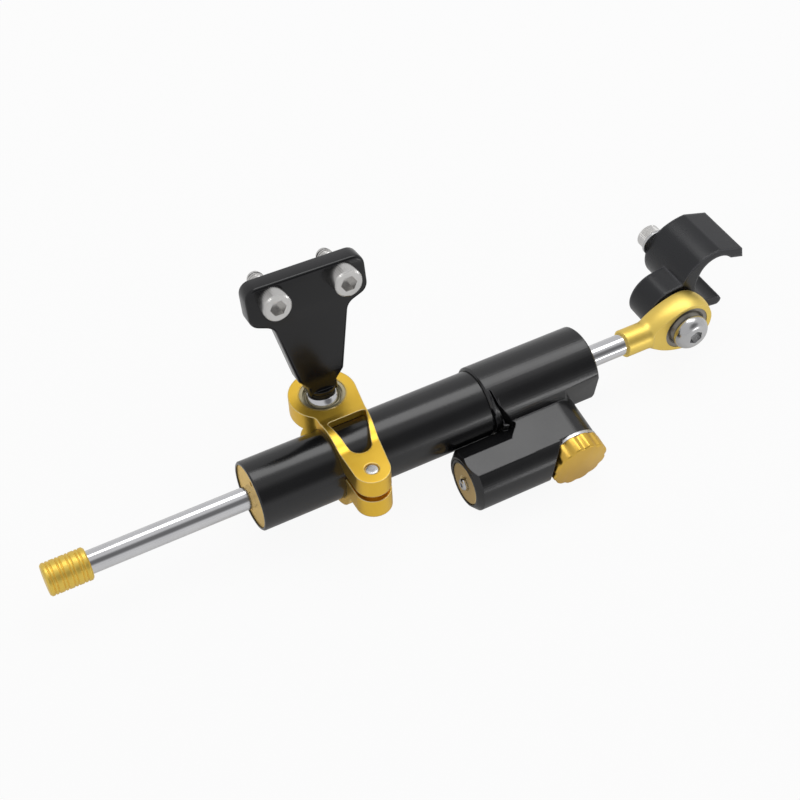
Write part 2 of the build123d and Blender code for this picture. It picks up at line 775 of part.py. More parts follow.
# Rod end: gold eye turned from round bar, its neck flaring on a tangent arc into the crown,
# then milled flat on both sides by a round cutter
flare_slope = 2 * atan2(flare_r - neck_r, flare_start - flare_end)
crown_angle = radians(crown_meet_angle)
crown_x = rod_end_x + crown_lead
crown_back = (crown_x + crown_r * cos(crown_angle), crown_r * sin(crown_angle))
crown_side = (crown_x + crown_r * cos(crown_angle / 2), crown_r * sin(crown_angle / 2))
flare_out = (rod_end_x - flare_end, flare_r)
with BuildPart() as rod_end:
    with BuildSketch(Plane.XY):
        with BuildLine():
            Polyline(
                (crown_x + crown_r, 0),
                (collar_left_x, 0),
                (collar_left_x, neck_r - edge_break),
                (collar_left_x + edge_break, neck_r),
                (rod_end_x - flare_start, neck_r),
            )
            TangentArc((rod_end_x - flare_start, neck_r), flare_out, tangent=(1, 0))
            TangentArc(flare_out, crown_back, tangent=(cos(flare_slope), sin(flare_slope)))
            ThreePointArc(crown_back, crown_side, (crown_x + crown_r, 0))
        make_face()
    revolve(axis=Axis.X)
    tube(rod_end_axis, rod_end_half_width, 2 * crown_r, side_face_r, mode=Mode.SUBTRACT)
    tube(rod_end_axis, -2 * crown_r, -rod_end_half_width, side_face_r, mode=Mode.SUBTRACT)
    tube(rod_end_axis, -crown_r, crown_r, rod_race_r + fixed_gap, mode=Mode.SUBTRACT)
    tube(Plane.XY, collar_left_x - overrun, rod_right_x + fixed_gap, rod_r + fixed_gap, mode=Mode.SUBTRACT)
rod_end.part.label = "rod_end"
export_step(rod_end.part, "parts/rod_end.step")

with BuildPart() as rod_end_race:
    race_ring(rod_end_axis, rod_ball_r, rod_race_half_width, rod_race_r)
rod_end_race.part.label = "rod_end_race"
export_step(rod_end_race.part, "parts/rod_end_race.step")

with BuildPart() as rod_end_ball:
    ball_ring(rod_end_axis, rod_ball_r, rod_ball_half_width, rod_bolt_r + running_gap)
rod_end_ball.part.label = "rod_end_ball"
export_step(rod_end_ball.part, "parts/rod_end_ball.step")

# Button head bolt through the ball into the hook bracket's boss
bolt_seat_s = rod_ball_half_width + fixed_gap
bolt_length = 2 * bolt_seat_s + rod_bolt_grip
bolt_seat = Plane(
    origin=rod_end_axis.from_local_coords((bolt_seat_s, 0, 0)),
    x_dir=rod_end_out,
    z_dir=(1, 0, 0),
)
with BuildPart() as rod_end_bolt:
    button_screw(
        bolt_seat,
        rod_bolt_r,
        bolt_length,
        button_r,
        button_rim,
        button_height,
        button_hex,
        button_hex_depth,
    )
rod_end_bolt.part.label = "rod_end_bolt"
export_step(rod_end_bolt.part, "parts/rod_end_bolt.step")

# Hook bracket: an open C with a long upper lip, drawn as shares of its outer radius from its centre
jaw_tip_share = (0.504, -0.870)
jaw_round_share = (0.474, -0.989)
jaw_outer_share = (0.385, -1.048)
hook_low_share = (0.0, -1.0)
hook_back_share = (-1.0, 0.0)
hook_crease_share = (-0.459, 0.888)
hook_crown_share = (-0.133, 1.004)
lip_start_share = (0.178, 1.048)
lip_top_share = (0.94, 0.81)
lip_low_share = (1.007, 0.485)
lip_root_share = (0.585, 0.61)
throat_top_share = (0.17, 0.826)
web_start_share = (-0.17, 0.985)
web_corner_share = (0.43, 1.08)
web_root_share = (0.9, 0.3)


def hook_point(share):
    """A point of the hook's outline on the rod end's plane"""
    return (hook_x + hook_r * share[0], hook_y + hook_r * share[1])


def seat_point(angle):
    """A point of the round seat inside the hook, at an angle counted from the rod"""
    reach = radians(angle)
    return (hook_seat_x + hook_seat_r * cos(reach), hook_seat_y + hook_seat_r * sin(reach))


throat_back = seat_point(hook_seat_from)
throat_low = seat_point((hook_seat_from + hook_seat_to) / 2)
jaw_inner = seat_point(hook_seat_to)
hook_near = rod_end_plan.offset(-bolt_seat_s)
web_start = (arm_boss_r * web_start_share[0], arm_boss_r * web_start_share[1])
web_corner = (arm_boss_r * web_corner_share[0], arm_boss_r * web_corner_share[1])
web_root = (arm_boss_r * web_root_share[0], arm_boss_r * web_root_share[1])
with BuildPart() as hook_bracket:
    with BuildSketch(hook_near):
        with BuildLine():
            jaw_tip = hook_point(jaw_tip_share)
            jaw_outer = hook_point(jaw_outer_share)
            Line(jaw_inner, jaw_tip)
            ThreePointArc(jaw_tip, hook_point(jaw_round_share), jaw_outer)
            Line(jaw_outer, hook_point(hook_low_share))
            crease = hook_point(hook_crease_share)
            lip_start = hook_point(lip_start_share)
            ThreePointArc(hook_point(hook_low_share), hook_point(hook_back_share), crease)
            ThreePointArc(crease, hook_point(hook_crown_share), lip_start)
            Polyline(
                lip_start,
                hook_point(lip_top_share),
                hook_point(lip_low_share),
                hook_point(lip_root_share),
            )
            ThreePointArc(hook_point(lip_root_share), hook_point(throat_top_share), throat_back)
            ThreePointArc(throat_back, throat_low, jaw_inner)
        make_face()
    extrude(amount=-hook_length)
    with BuildSketch(hook_near):
        Circle(arm_boss_r)
        with BuildLine():
            Polyline((0, 0), web_start, web_corner, web_root, close=True)
        make_face()
    extrude(amount=-arm_thickness)
    with BuildSketch(hook_near):
        Circle(rod_bolt_r + fixed_gap)
    extrude(amount=-hook_length, mode=Mode.SUBTRACT)
    with BuildSketch(hook_near.offset(-hook_length)):
        with Locations((hook_screw_x, hook_screw_y)):
            Circle(hook_screw_r + fixed_gap)
    extrude(amount=hook_screw_length + fixed_gap, mode=Mode.SUBTRACT)
hook_bracket.part.label = "hook_bracket"
export_step(hook_bracket.part, "parts/hook_bracket.step")

# Cap screw and washer in the far end of the hook bracket
hook_far_s = -(bolt_seat_s + hook_length)
hook_in = (0, cos(rod_turn), -sin(rod_turn))
washer_seat = rod_end_plan.from_local_coords((hook_screw_x, hook_screw_y, hook_far_s))
hook_washer_axis = Plane(origin=washer_seat, x_dir=hook_in, z_dir=(1, 0, 0))
with BuildPart() as hook_washer:
    tube(hook_washer_axis, fixed_gap, hook_washer_thickness, hook_washer_r, hook_screw_r + fixed_gap)
hook_washer.part.label = "hook_washer"
export_step(hook_washer.part, "parts/hook_washer.step")

screw_s = hook_far_s - hook_washer_thickness - fixed_gap
screw_seat = rod_end_plan.from_local_coords((hook_screw_x, hook_screw_y, screw_s))
hook_screw_axis = Plane(origin=screw_seat, x_dir=hook_in, z_dir=(1, 0, 0))
with BuildPart() as hook_screw:
    cap_screw(
        hook_screw_axis,
        hook_screw_r,
        hook_screw_length,
        hook_screw_head_r,
        hook_screw_head_height,
        hook_screw_hex,
    )
hook_screw.part.label = "hook_screw"
export_step(hook_screw.part, "parts/hook_screw.step")

# Clamp: one gold piece milled two ways, its side view cut to the band, eye and ears,
# then its plan cut to the eye, the waisted arm with its window, and the round ears
band_bore_r = barrel_r + fixed_gap
half_length = eye_r + overrun
with BuildPart() as clamp_collar:
    with BuildSketch(clamp_section):
        Circle(band_r)
        with Locations(((eye_y + eye_r) / 2, (eye_low + eye_top) / 2)):
            Rectangle(eye_y + eye_r, eye_top - eye_low)
        ear_reach = tab_r - tab_y
        with Locations((-ear_reach / 2, (tab_low + tab_top) / 2)):
            Rectangle(ear_reach, tab_top - tab_low)
        ear_meets_band = (-sqrt(band_r**2 - tab_top**2), tab_top)
        eye_meets_band = (sqrt(band_r**2 - eye_top**2), eye_top)
        fillet(vertices().sort_by_distance(ear_meets_band)[0], band_blend_r)
        fillet(vertices().sort_by_distance(eye_meets_band)[0], band_blend_r)
        Circle(band_bore_r, mode=Mode.SUBTRACT)
        with Locations((-(ear_reach + barrel_r) / 2, (split_low + split_high) / 2)):
            Rectangle(ear_reach, split_high - split_low, mode=Mode.SUBTRACT)
    extrude(amount=half_length, both=True)
    with BuildSketch(clamp_plan):
        with Locations((0, eye_y)):
            Circle(eye_r)
        with Locations((tab_x, tab_y)):
            Circle(tab_r)
        make_hull()
        with Locations((tab_x - tab_r - eye_r / 2, (eye_y + tab_y) / 2)):
            Rectangle(eye_r, eye_y - tab_y, mode=Mode.SUBTRACT)
        with Locations((0, eye_y)):
            Circle(eye_r)
        flank_x = tab_x - tab_r
        flank_corner = (flank_x, eye_y - sqrt(eye_r**2 - flank_x**2))
        fillet(vertices().sort_by_distance(flank_corner)[0], flank_corner_r)
    extrude(amount=2 * band_r, both=True, mode=Mode.INTERSECT)
    with BuildSketch(clamp_plan):
        with Locations(window_left, window_right):
            Circle(window_corner_r)
        with Locations(window_foot):
            Circle(window_foot_r)
        make_hull()
    extrude(amount=2 * band_r, mode=Mode.SUBTRACT)
    # Stepped eye: lip below, race seat, snap ring groove above
    seat_low = clamp_race_width / 2
    ring_low = seat_low + fixed_gap
    tube(clamp_bearing_axis, -eye_r, eye_r, clamp_lip_r, mode=Mode.SUBTRACT)
    tube(clamp_bearing_axis, -seat_low - fixed_gap, eye_r, clamp_race_r + fixed_gap, mode=Mode.SUBTRACT)
    tube(
        clamp_bearing_axis,
        ring_low - fixed_gap,
        ring_low + snap_ring_width + fixed_gap,
        snap_ring_r + fixed_gap,
        mode=Mode.SUBTRACT,
    )
clamp_collar.part.label = "clamp_collar"

# Clamp screw from below: its head in the lower ear, its domed tip flush in the upper one
clamp_screw_length = tab_top - clamp_screw_sink - (tab_low + clamp_head_sink + clamp_screw_head_height)
head_seat = tab_low + clamp_head_sink + clamp_screw_head_height
clamp_screw_axis = Plane(
    origin=clamp_plan.from_local_coords((tab_x, tab_y, head_seat)),
    x_dir=(0, -sin(turn), -cos(turn)),
    z_dir=(1, 0, 0),
)
with BuildPart() as clamp_screw:
    cap_screw(
        clamp_screw_axis,
        clamp_screw_r,
        clamp_screw_length,
        clamp_screw_head_r,
        clamp_screw_head_height,
        clamp_screw_hex,
    )
clamp_screw.part.label = "clamp_screw"
export_step(clamp_screw.part, "parts/clamp_screw.step")

with clamp_collar:
    tube(clamp_screw_axis, -2 * band_r, 0, clamp_screw_r + fixed_gap, mode=Mode.SUBTRACT)
    counterbore_r = clamp_screw_head_r + clamp_screw_sink
    tube(clamp_screw_axis, -fixed_gap, 2 * band_r, counterbore_r, mode=Mode.SUBTRACT)
export_step(clamp_collar.part, "parts/clamp_collar.step")

with BuildPart() as clamp_race:
    race_ring(clamp_bearing_axis, clamp_ball_r, clamp_race_width / 2, clamp_race_r)
clamp_race.part.label = "clamp_race"
export_step(clamp_race.part, "parts/clamp_race.step")

with BuildPart() as snap_ring:
    tube(clamp_bearing_axis, ring_low, ring_low + snap_ring_width, snap_ring_r, snap_ring_inner_r)
snap_ring.part.label = "snap_ring"
export_step(snap_ring.part, "parts/snap_ring.step")

with BuildPart() as clamp_ball:
    ball_ring(clamp_ball_axis, clamp_ball_r, clamp_ball_width / 2, clamp_bore_r + running_gap)
clamp_ball.part.label = "clamp_ball"
export_step(clamp_ball.part, "parts/clamp_ball.step")

# Frame bracket: black T plate on a round foot whose spigot passes down through the ball
spigot_length = clamp_ball_width - fixed_gap
with BuildPart() as frame_bracket:
    with BuildSketch(bracket_plan.offset(bracket_thickness / 2)):
        with BuildLine():
            Polyline(
                (-foot_half_width, foot_collar_height),
                (foot_half_width, foot_collar_height),
                (foot_half_width, foot_height),
                (waist_half_width, waist_height),
                (shoulder_half_width, shoulder_height),
                (head_half_width, head_low),
                (head_half_width, head_top),
                (-head_half_width, head_top),
                (-head_half_width, head_low),
                (-shoulder_half_width, shoulder_height),
                (-waist_half_width, waist_height),
                (-foot_half_width, foot_height),
                close=True,
            )
        make_face()
        fillet(vertices().group_by(Axis.Y)[-1], head_corner_r)
        fillet(vertices().group_by(Axis.Y)[-3], head_corner_r)
        fillet(vertices().group_by(Axis.Y)[3], shoulder_corner_r)
        fillet(vertices().group_by(Axis.Y)[2], waist_corner_r)
    extrude(amount=-bracket_thickness)
    chamfer(faces().filter_by(bracket_plan).edges(), bracket_bevel)
    tube(foot_axis, 0, foot_height, 2 * foot_r, foot_r, mode=Mode.SUBTRACT)
    tube(foot_axis, -spigot_length, foot_height, clamp_bore_r)
    tube(foot_axis, 0, foot_collar_height + fixed_gap, foot_collar_r)
    foot_hole_end = foot_screw_length - clamp_ball_width
    tube(
        foot_axis,
        -spigot_length - overrun,
        foot_hole_end,
        foot_screw_r + fixed_gap,
        mode=Mode.SUBTRACT,
    )
    with BuildSketch(bracket_plan.offset(bracket_thickness / 2)):
        with Locations((0, bracket_screw_height)):
            with GridLocations(bracket_screw_pitch, 0, 2, 1):
                Circle(bracket_hole_r)
    extrude(amount=-bracket_thickness, mode=Mode.SUBTRACT)
frame_bracket.part.label = "frame_bracket"
export_step(frame_bracket.part, "parts/frame_bracket.step")

# Button head screw that holds the ball up against the foot
foot_screw_seat = Plane(
    origin=foot_axis.from_local_coords((-clamp_ball_width - 2 * fixed_gap, 0, 0)),
    x_dir=-bolt_dir,
    z_dir=(1, 0, 0),
)
with BuildPart() as foot_screw:
    button_screw(
        foot_screw_seat,
        foot_screw_r,
        foot_screw_length,
        foot_screw_head_r,
        button_rim,
        foot_screw_head_height,
        foot_screw_hex,
        foot_screw_hex_depth,
    )
foot_screw.part.label = "foot_screw"
export_step(foot_screw.part, "parts/foot_screw.step")

# The two cap screws that fasten the bracket to the motorcycle
with BuildPart() as bracket_screws:
    for side in (-1, 1):
        seat = (side * bracket_screw_pitch / 2, bracket_screw_height, bracket_thickness / 2 + fixed_gap)
        screw_axis = Plane(
            origin=bracket_plan.from_local_coords(seat),
            x_dir=bracket_out,
            z_dir=bracket_across,
        )
        cap_screw(
            screw_axis,
            bracket_screw_r,
            bracket_screw_length,
            bracket_screw_head_r,
            bracket_screw_head_height,
            bracket_screw_hex,
        )
        # Through the plate the plain shank is a little slimmer than the thread behind it
        shank_end = -(bracket_thickness + fixed_gap)
        ring_r = bracket_screw_r + fixed_gap
        tube(screw_axis, shank_end, 0, ring_r, bracket_shank_r, mode=Mode.SUBTRACT)
bracket_screws.part.label = "bracket_screws"
export_step(bracket_screws.part, "parts/bracket_screws.step")
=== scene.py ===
from math import cos, pi, radians, sin, tan

import bmesh
import bpy
from mathutils import Matrix, Vector


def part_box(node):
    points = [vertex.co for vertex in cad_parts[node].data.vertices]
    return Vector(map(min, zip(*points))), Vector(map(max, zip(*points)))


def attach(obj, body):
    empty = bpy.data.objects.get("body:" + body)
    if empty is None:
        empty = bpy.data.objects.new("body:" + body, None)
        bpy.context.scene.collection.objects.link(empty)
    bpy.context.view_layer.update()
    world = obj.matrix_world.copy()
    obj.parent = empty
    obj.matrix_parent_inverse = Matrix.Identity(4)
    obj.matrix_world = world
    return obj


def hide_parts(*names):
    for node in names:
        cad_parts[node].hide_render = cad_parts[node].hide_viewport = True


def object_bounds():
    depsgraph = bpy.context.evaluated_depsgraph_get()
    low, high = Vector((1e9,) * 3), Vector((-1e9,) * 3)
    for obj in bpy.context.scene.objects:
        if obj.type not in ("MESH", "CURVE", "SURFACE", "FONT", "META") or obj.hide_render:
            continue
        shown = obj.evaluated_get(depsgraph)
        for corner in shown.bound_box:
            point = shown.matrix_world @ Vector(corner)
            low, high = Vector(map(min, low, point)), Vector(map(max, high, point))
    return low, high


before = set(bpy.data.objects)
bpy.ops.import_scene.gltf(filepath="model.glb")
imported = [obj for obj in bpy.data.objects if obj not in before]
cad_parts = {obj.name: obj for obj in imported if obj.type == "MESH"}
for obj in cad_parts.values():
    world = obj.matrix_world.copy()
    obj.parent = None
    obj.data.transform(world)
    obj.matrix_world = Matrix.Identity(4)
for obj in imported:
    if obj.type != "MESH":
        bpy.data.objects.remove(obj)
cad_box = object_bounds()

# Barrel. Drawn aluminium tube, anodised satin black: fine turning marks run round it, and its
# sharpest edges are painted a little paler, partly as worn dye and partly as a painted highlight.


def shader_group(name, inputs, outputs):
    """An empty shader group with named sockets, its input node and its output node"""
    group = bpy.data.node_groups.new(name, "ShaderNodeTree")
    for label, kind, value in inputs:
        socket = group.interface.new_socket(label, in_out="INPUT", socket_type=kind)
        socket.default_value = value
    for label, kind in outputs:
        group.interface.new_socket(label, in_out="OUTPUT", socket_type=kind)
    return group, group.nodes.new("NodeGroupInput"), group.nodes.new("NodeGroupOutput")


def math_node(tree, operation, first, second=None, clamp=False):
    """A Math node on two values or sockets"""
    node = tree.nodes.new("ShaderNodeMath")
    node.operation = operation
    node.use_clamp = clamp
    for socket, value in zip(node.inputs, (first, second)):
        if isinstance(value, bpy.types.NodeSocket):
            tree.links.new(value, socket)
        elif value is not None:
            socket.default_value = value
    return node.outputs[0]


# Edge wear and painted highlight: 1 along sharp edges and 0 on the open surface, with the normal
# rounded over them. The paler colour mixed in by this mask is partly wear and partly a painted
# highlight
edge_wear_and_highlight, edge_in, edge_out = shader_group(
    "edge wear and painted highlight",
    [("Width", "NodeSocketFloat", 0.0003), ("Gain", "NodeSocketFloat", 3.0)],
    [("Mask", "NodeSocketFloat"), ("Normal", "NodeSocketVector")],
)
bevel = edge_wear_and_highlight.nodes.new("ShaderNodeBevel")
bevel.samples = 6
surface_way = edge_wear_and_highlight.nodes.new("ShaderNodeNewGeometry")
alike = edge_wear_and_highlight.nodes.new("ShaderNodeVectorMath")
alike.operation = "DOT_PRODUCT"
edge_wear_and_highlight.links.new(edge_in.outputs["Width"], bevel.inputs["Radius"])
edge_wear_and_highlight.links.new(bevel.outputs[0], alike.inputs[0])
edge_wear_and_highlight.links.new(surface_way.outputs["Normal"], alike.inputs[1])
turned_away = math_node(edge_wear_and_highlight, "SUBTRACT", 1.0, alike.outputs["Value"])
wear_and_highlight_mask = math_node(edge_wear_and_highlight, "MULTIPLY", turned_away, edge_in.outputs["Gain"], clamp=True)
edge_wear_and_highlight.links.new(wear_and_highlight_mask, edge_out.inputs["Mask"])
edge_wear_and_highlight.links.new(bevel.outputs[0], edge_out.inputs["Normal"])

# Tool marks: fine noise drawn out along the way that the tool or brush went
tool_marks, marks_in, marks_out = shader_group(
    "tool marks",
    [("Vector", "NodeSocketVector", (0, 0, 0)), ("Stretch", "NodeSocketVector", (4000, 200, 200))],
    [("Height", "NodeSocketFloat")],
)
stretched = tool_marks.nodes.new("ShaderNodeVectorMath")
stretched.operation = "MULTIPLY"
fine_noise = tool_marks.nodes.new("ShaderNodeTexNoise")
fine_noise.inputs["Scale"].default_value = 1.0
fine_noise.inputs["Detail"].default_value = 3.0
tool_marks.links.new(marks_in.outputs["Vector"], stretched.inputs[0])
tool_marks.links.new(marks_in.outputs["Stretch"], stretched.inputs[1])
tool_marks.links.new(stretched.outputs[0], fine_noise.inputs["Vector"])
tool_marks.links.new(fine_noise.outputs["Fac"], marks_out.inputs["Height"])

# Handling cloud: broad soft patches where dye, oil and finger marks vary
handling_cloud, cloud_in, cloud_out = shader_group(
    "handling cloud",
    [("Vector", "NodeSocketVector", (0, 0, 0)), ("Scale", "NodeSocketFloat", 60.0)],
    [("Cloud", "NodeSocketFloat")],
)
broad_noise = handling_cloud.nodes.new("ShaderNodeTexNoise")
broad_noise.inputs["Detail"].default_value = 4.0
spread = handling_cloud.nodes.new("ShaderNodeMapRange")
spread.inputs["From Min"].default_value = 0.35
spread.inputs["From Max"].default_value = 0.65
handling_cloud.links.new(cloud_in.outputs["Vector"], broad_noise.inputs["Vector"])
handling_cloud.links.new(cloud_in.outputs["Scale"], broad_noise.inputs["Scale"])
handling_cloud.links.new(broad_noise.outputs["Fac"], spread.inputs["Value"])
handling_cloud.links.new(spread.outputs[0], cloud_out.inputs["Cloud"])


def group_node(tree, group, **values):
    """A shader group placed in a material, with its own values"""
    node = tree.nodes.new("ShaderNodeGroup")
    node.node_tree = group
    for label, value in values.items():
        node.inputs[label].default_value = value
    return node


def mixed(tree, share, first, second):
    """A colour between two colours or sockets"""
    node = tree.nodes.new("ShaderNodeMix")
    node.data_type = "RGBA"
    tree.links.new(share, node.inputs["Factor"])
    # A Mix node takes its two colours at sockets 6 and 7 and gives the result at 2
    for socket, value in ((node.inputs[6], first), (node.inputs[7], second)):
        if isinstance(value, bpy.types.NodeSocket):
            tree.links.new(value, socket)
        else:
            socket.default_value = (*value, 1.0)
    return node.outputs[2]


def worked_metal(name, colour, other, rough, marks, wear_and_highlight, shader, mark_height=0.000004, cloud=60.0):
    """A machined surface: two close colours in a cloud, tool marks, and edges painted paler.

    rough is (smoothest, roughest), marks the stretch of the tool marks, wear_and_highlight
    (width, gain, colour) the paler edge, partly wear and partly painted highlight, shader the
    sockets that are the same all over"""
    made = bpy.data.materials.new(name)
    made.use_nodes = True
    tree = made.node_tree
    principled = tree.nodes["Principled BSDF"]
    for label, value in shader.items():
        principled.inputs[label].default_value = value
    place = tree.nodes.new("ShaderNodeTexCoord").outputs["Object"]
    clouds = group_node(tree, handling_cloud, Scale=cloud)
    grain = group_node(tree, tool_marks, Stretch=marks)
    edge = group_node(tree, edge_wear_and_highlight, Width=wear_and_highlight[0], Gain=wear_and_highlight[1])
    tree.links.new(place, clouds.inputs["Vector"])
    tree.links.new(place, grain.inputs["Vector"])
    body = mixed(tree, clouds.outputs["Cloud"], colour, other)
    # Sharp edges are mixed towards a paler colour: partly wear, partly a painted highlight
    worn_and_highlighted = mixed(tree, edge.outputs["Mask"], body, wear_and_highlight[2])
    tree.links.new(worn_and_highlighted, principled.inputs["Base Color"])
    both = math_node(tree, "ADD", clouds.outputs["Cloud"], grain.outputs["Height"])
    gloss = tree.nodes.new("ShaderNodeMapRange")
    gloss.inputs["From Max"].default_value = 2.0
    gloss.inputs["To Min"].default_value = rough[0]
    gloss.inputs["To Max"].default_value = rough[1]
    tree.links.new(both, gloss.inputs["Value"])
    tree.links.new(gloss.outputs[0], principled.inputs["Roughness"])
    bump = tree.nodes.new("ShaderNodeBump")
    bump.inputs["Strength"].default_value = 1.0
    bump.inputs["Distance"].default_value = mark_height
    tree.links.new(grain.outputs["Height"], bump.inputs["Height"])
    tree.links.new(edge.outputs["Normal"], bump.inputs["Normal"])
    tree.links.new(bump.outputs[0], principled.inputs["Normal"])
    return made


def finish_nodes(material, *names):
    """Give CAD nodes their finish"""
    for name in names:
        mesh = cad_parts[name].data
        mesh.materials.clear()
        mesh.materials.append(material)


round_the_rod = (5200.0, 260.0, 260.0)
satin_black = {"Metallic": 0.0, "IOR": 1.6, "Coat Weight": 0.0}
barrel_black = worked_metal(
    "satin black barrel",
    colour=(0.0045, 0.0045, 0.0050),
    other=(0.0065, 0.0065, 0.0070),
    rough=(0.16, 0.23),
    marks=round_the_rod,
    wear_and_highlight=(0.00025, 2.0, (0.10, 0.10, 0.11)),
    shader=satin_black,
)
finish_nodes(barrel_black, "barrel_tube")

# Piston rod. Hard chromed steel bar, ground and polished, right through the barrel and out at
# both ends.
plain_metal = {"Metallic": 1.0}
mirror_chrome = worked_metal(
    "hard chrome",
    colour=(0.74, 0.74, 0.75),
    other=(0.80, 0.80, 0.81),
    rough=(0.09, 0.16),
    marks=round_the_rod,
    wear_and_highlight=(0.0002, 1.0, (0.85, 0.85, 0.86)),
    shader=plain_metal,
    mark_height=0.000001,
)
finish_nodes(mirror_chrome, "piston_rod")

# Gold pieces that are turned: the gland nut in the barrel's mouth, the reservoir's plug and the
# rod end. Aluminium, satin etched and anodised gold.
# Pale gold mixed in along the gold pieces' edges: partly wear, partly a painted highlight
gold_wear_and_highlight = (0.0003, 2.2, (1.0, 0.86, 0.50))
turned_gold = worked_metal(
    "turned gold",
    colour=(0.90, 0.60, 0.13),
    other=(0.96, 0.66, 0.16),
    rough=(0.30, 0.40),
    marks=(2600.0, 700.0, 700.0),
    wear_and_highlight=gold_wear_and_highlight,
    shader=plain_metal,
)
warm_gold = worked_metal(
    "rod end gold",
    colour=(1.00, 0.72, 0.16),
    other=(1.00, 0.77, 0.20),
    rough=(0.38, 0.50),
    marks=(900.0, 900.0, 900.0),
    wear_and_highlight=gold_wear_and_highlight,
    shader=plain_metal,
)
# The plug's rim is painted bright gold over a wide band, a painted highlight
plug_gold = worked_metal(
    "plug gold",
    colour=(0.62, 0.43, 0.16),
    other=(0.70, 0.50, 0.20),
    rough=(0.30, 0.42),
    marks=(700.0, 700.0, 700.0),
    wear_and_highlight=(0.0009, 6.0, (1.0, 0.84, 0.48)),
    shader=plain_metal,
)
finish_nodes(turned_gold, "gland_nut")
finish_nodes(plug_gold, "reservoir_plug")
finish_nodes(warm_gold, "rod_end")

# Clamp on the barrel. One piece of aluminium milled two ways, anodised bright yellow gold, with
# a fine satin grain. Thin pale rims along its broken edges are painted in, mostly as a painted
# highlight and partly as wear.
clamp_gold = worked_metal(
    "clamp gold",
    colour=(0.95, 0.59, 0.065),
    other=(1.00, 0.65, 0.085),
    rough=(0.32, 0.40),
    marks=(1500.0, 700.0, 700.0),
    wear_and_highlight=(0.0006, 5.0, (1.0, 0.88, 0.50)),
    shader=plain_metal,
)
finish_nodes(clamp_gold, "clamp_collar")

# Spherical bearings in the clamp and in the rod end. Ground steel balls in steel rings. The
# clamp's ball is polished, and a film of oil yellows its race and the snap ring that holds it.
polished_ball = worked_metal(
    "polished ball",
    colour=(0.66, 0.66, 0.67),
    other=(0.74, 0.74, 0.75),
    rough=(0.07, 0.14),
    marks=(1200.0, 1200.0, 1200.0),
    wear_and_highlight=(0.0002, 1.5, (0.85, 0.85, 0.86)),
    shader=plain_metal,
    mark_height=0.000001,
)
ground_ring = worked_metal(
    "ground ring",
    colour=(0.26, 0.24, 0.21),
    other=(0.34, 0.32, 0.28),
    rough=(0.28, 0.40),
    marks=(1800.0, 600.0, 1800.0),
    wear_and_highlight=(0.0003, 2.0, (0.75, 0.75, 0.74)),
    shader=plain_metal,
)
oiled_ring = worked_metal(
    "oiled ring",
    colour=(0.50, 0.44, 0.27),
    other=(0.58, 0.52, 0.34),
    rough=(0.22, 0.32),
    marks=(1600.0, 1600.0, 400.0),
    wear_and_highlight=(0.0003, 2.0, (0.80, 0.74, 0.55)),
    shader=plain_metal,
)
blued_spring = worked_metal(
    "blued spring steel",
    colour=(0.16, 0.15, 0.15),
    other=(0.22, 0.21, 0.20),
    rough=(0.30, 0.42),
    marks=(1600.0, 1600.0, 400.0),
    wear_and_highlight=(0.0002, 2.0, (0.55, 0.54, 0.52)),
    shader=plain_metal,
)
finish_nodes(polished_ball, "clamp_ball", "click_ball")
finish_nodes(ground_ring, "rod_end_ball", "rod_end_race")
finish_nodes(oiled_ring, "clamp_race", "snap_ring")
finish_nodes(blued_spring, "piston_clips", "click_spring")

# Small screws: the button heads at the clamp's ball and the rod end, the reservoir's filling
# screw and the hook's washer, of stainless steel, turned and lightly tumbled. The clamp's screw
# shows only its tip, which is polished and rounded at the rim, with a wide rim painted paler as a
# painted highlight.
tumbled_steel = worked_metal(
    "tumbled stainless",
    colour=(0.56, 0.56, 0.56),
    other=(0.66, 0.66, 0.66),
    rough=(0.17, 0.28),
    marks=(1300.0, 1300.0, 1300.0),
    wear_and_highlight=(0.0003, 2.0, (0.85, 0.85, 0.85)),
    shader=plain_metal,
)
screw_tip = worked_metal(
    "polished screw tip",
    colour=(0.72, 0.72, 0.72),
    other=(0.80, 0.80, 0.80),
    rough=(0.18, 0.28),
    marks=(1300.0, 1300.0, 1300.0),
    wear_and_highlight=(0.0014, 1.0, (0.85, 0.85, 0.85)),
    shader=plain_metal,
)
finish_nodes(screw_tip, "clamp_screw")
finish_nodes(tumbled_steel, "foot_screw", "rod_end_bolt", "fill_screw")
finish_nodes(tumbled_steel, "hook_washer", "adjuster_spindle", "metering_needle")

# Washer under the knob, and the guides and pistons inside. Aluminium in its own colour, clear
# anodised, with the lathe's fine rings.
clear_metal = worked_metal(
    "clear anodised",
    colour=(0.72, 0.72, 0.74),
    other=(0.78, 0.78, 0.80),
    rough=(0.26, 0.38),
    marks=(1100.0, 3200.0, 1100.0),
    wear_and_highlight=(0.0003, 2.0, (0.9, 0.9, 0.92)),
    shader=plain_metal,
)
finish_nodes(clear_metal, "knob_washer", "front_guide", "piston", "gas_piston", "adjuster_bush")

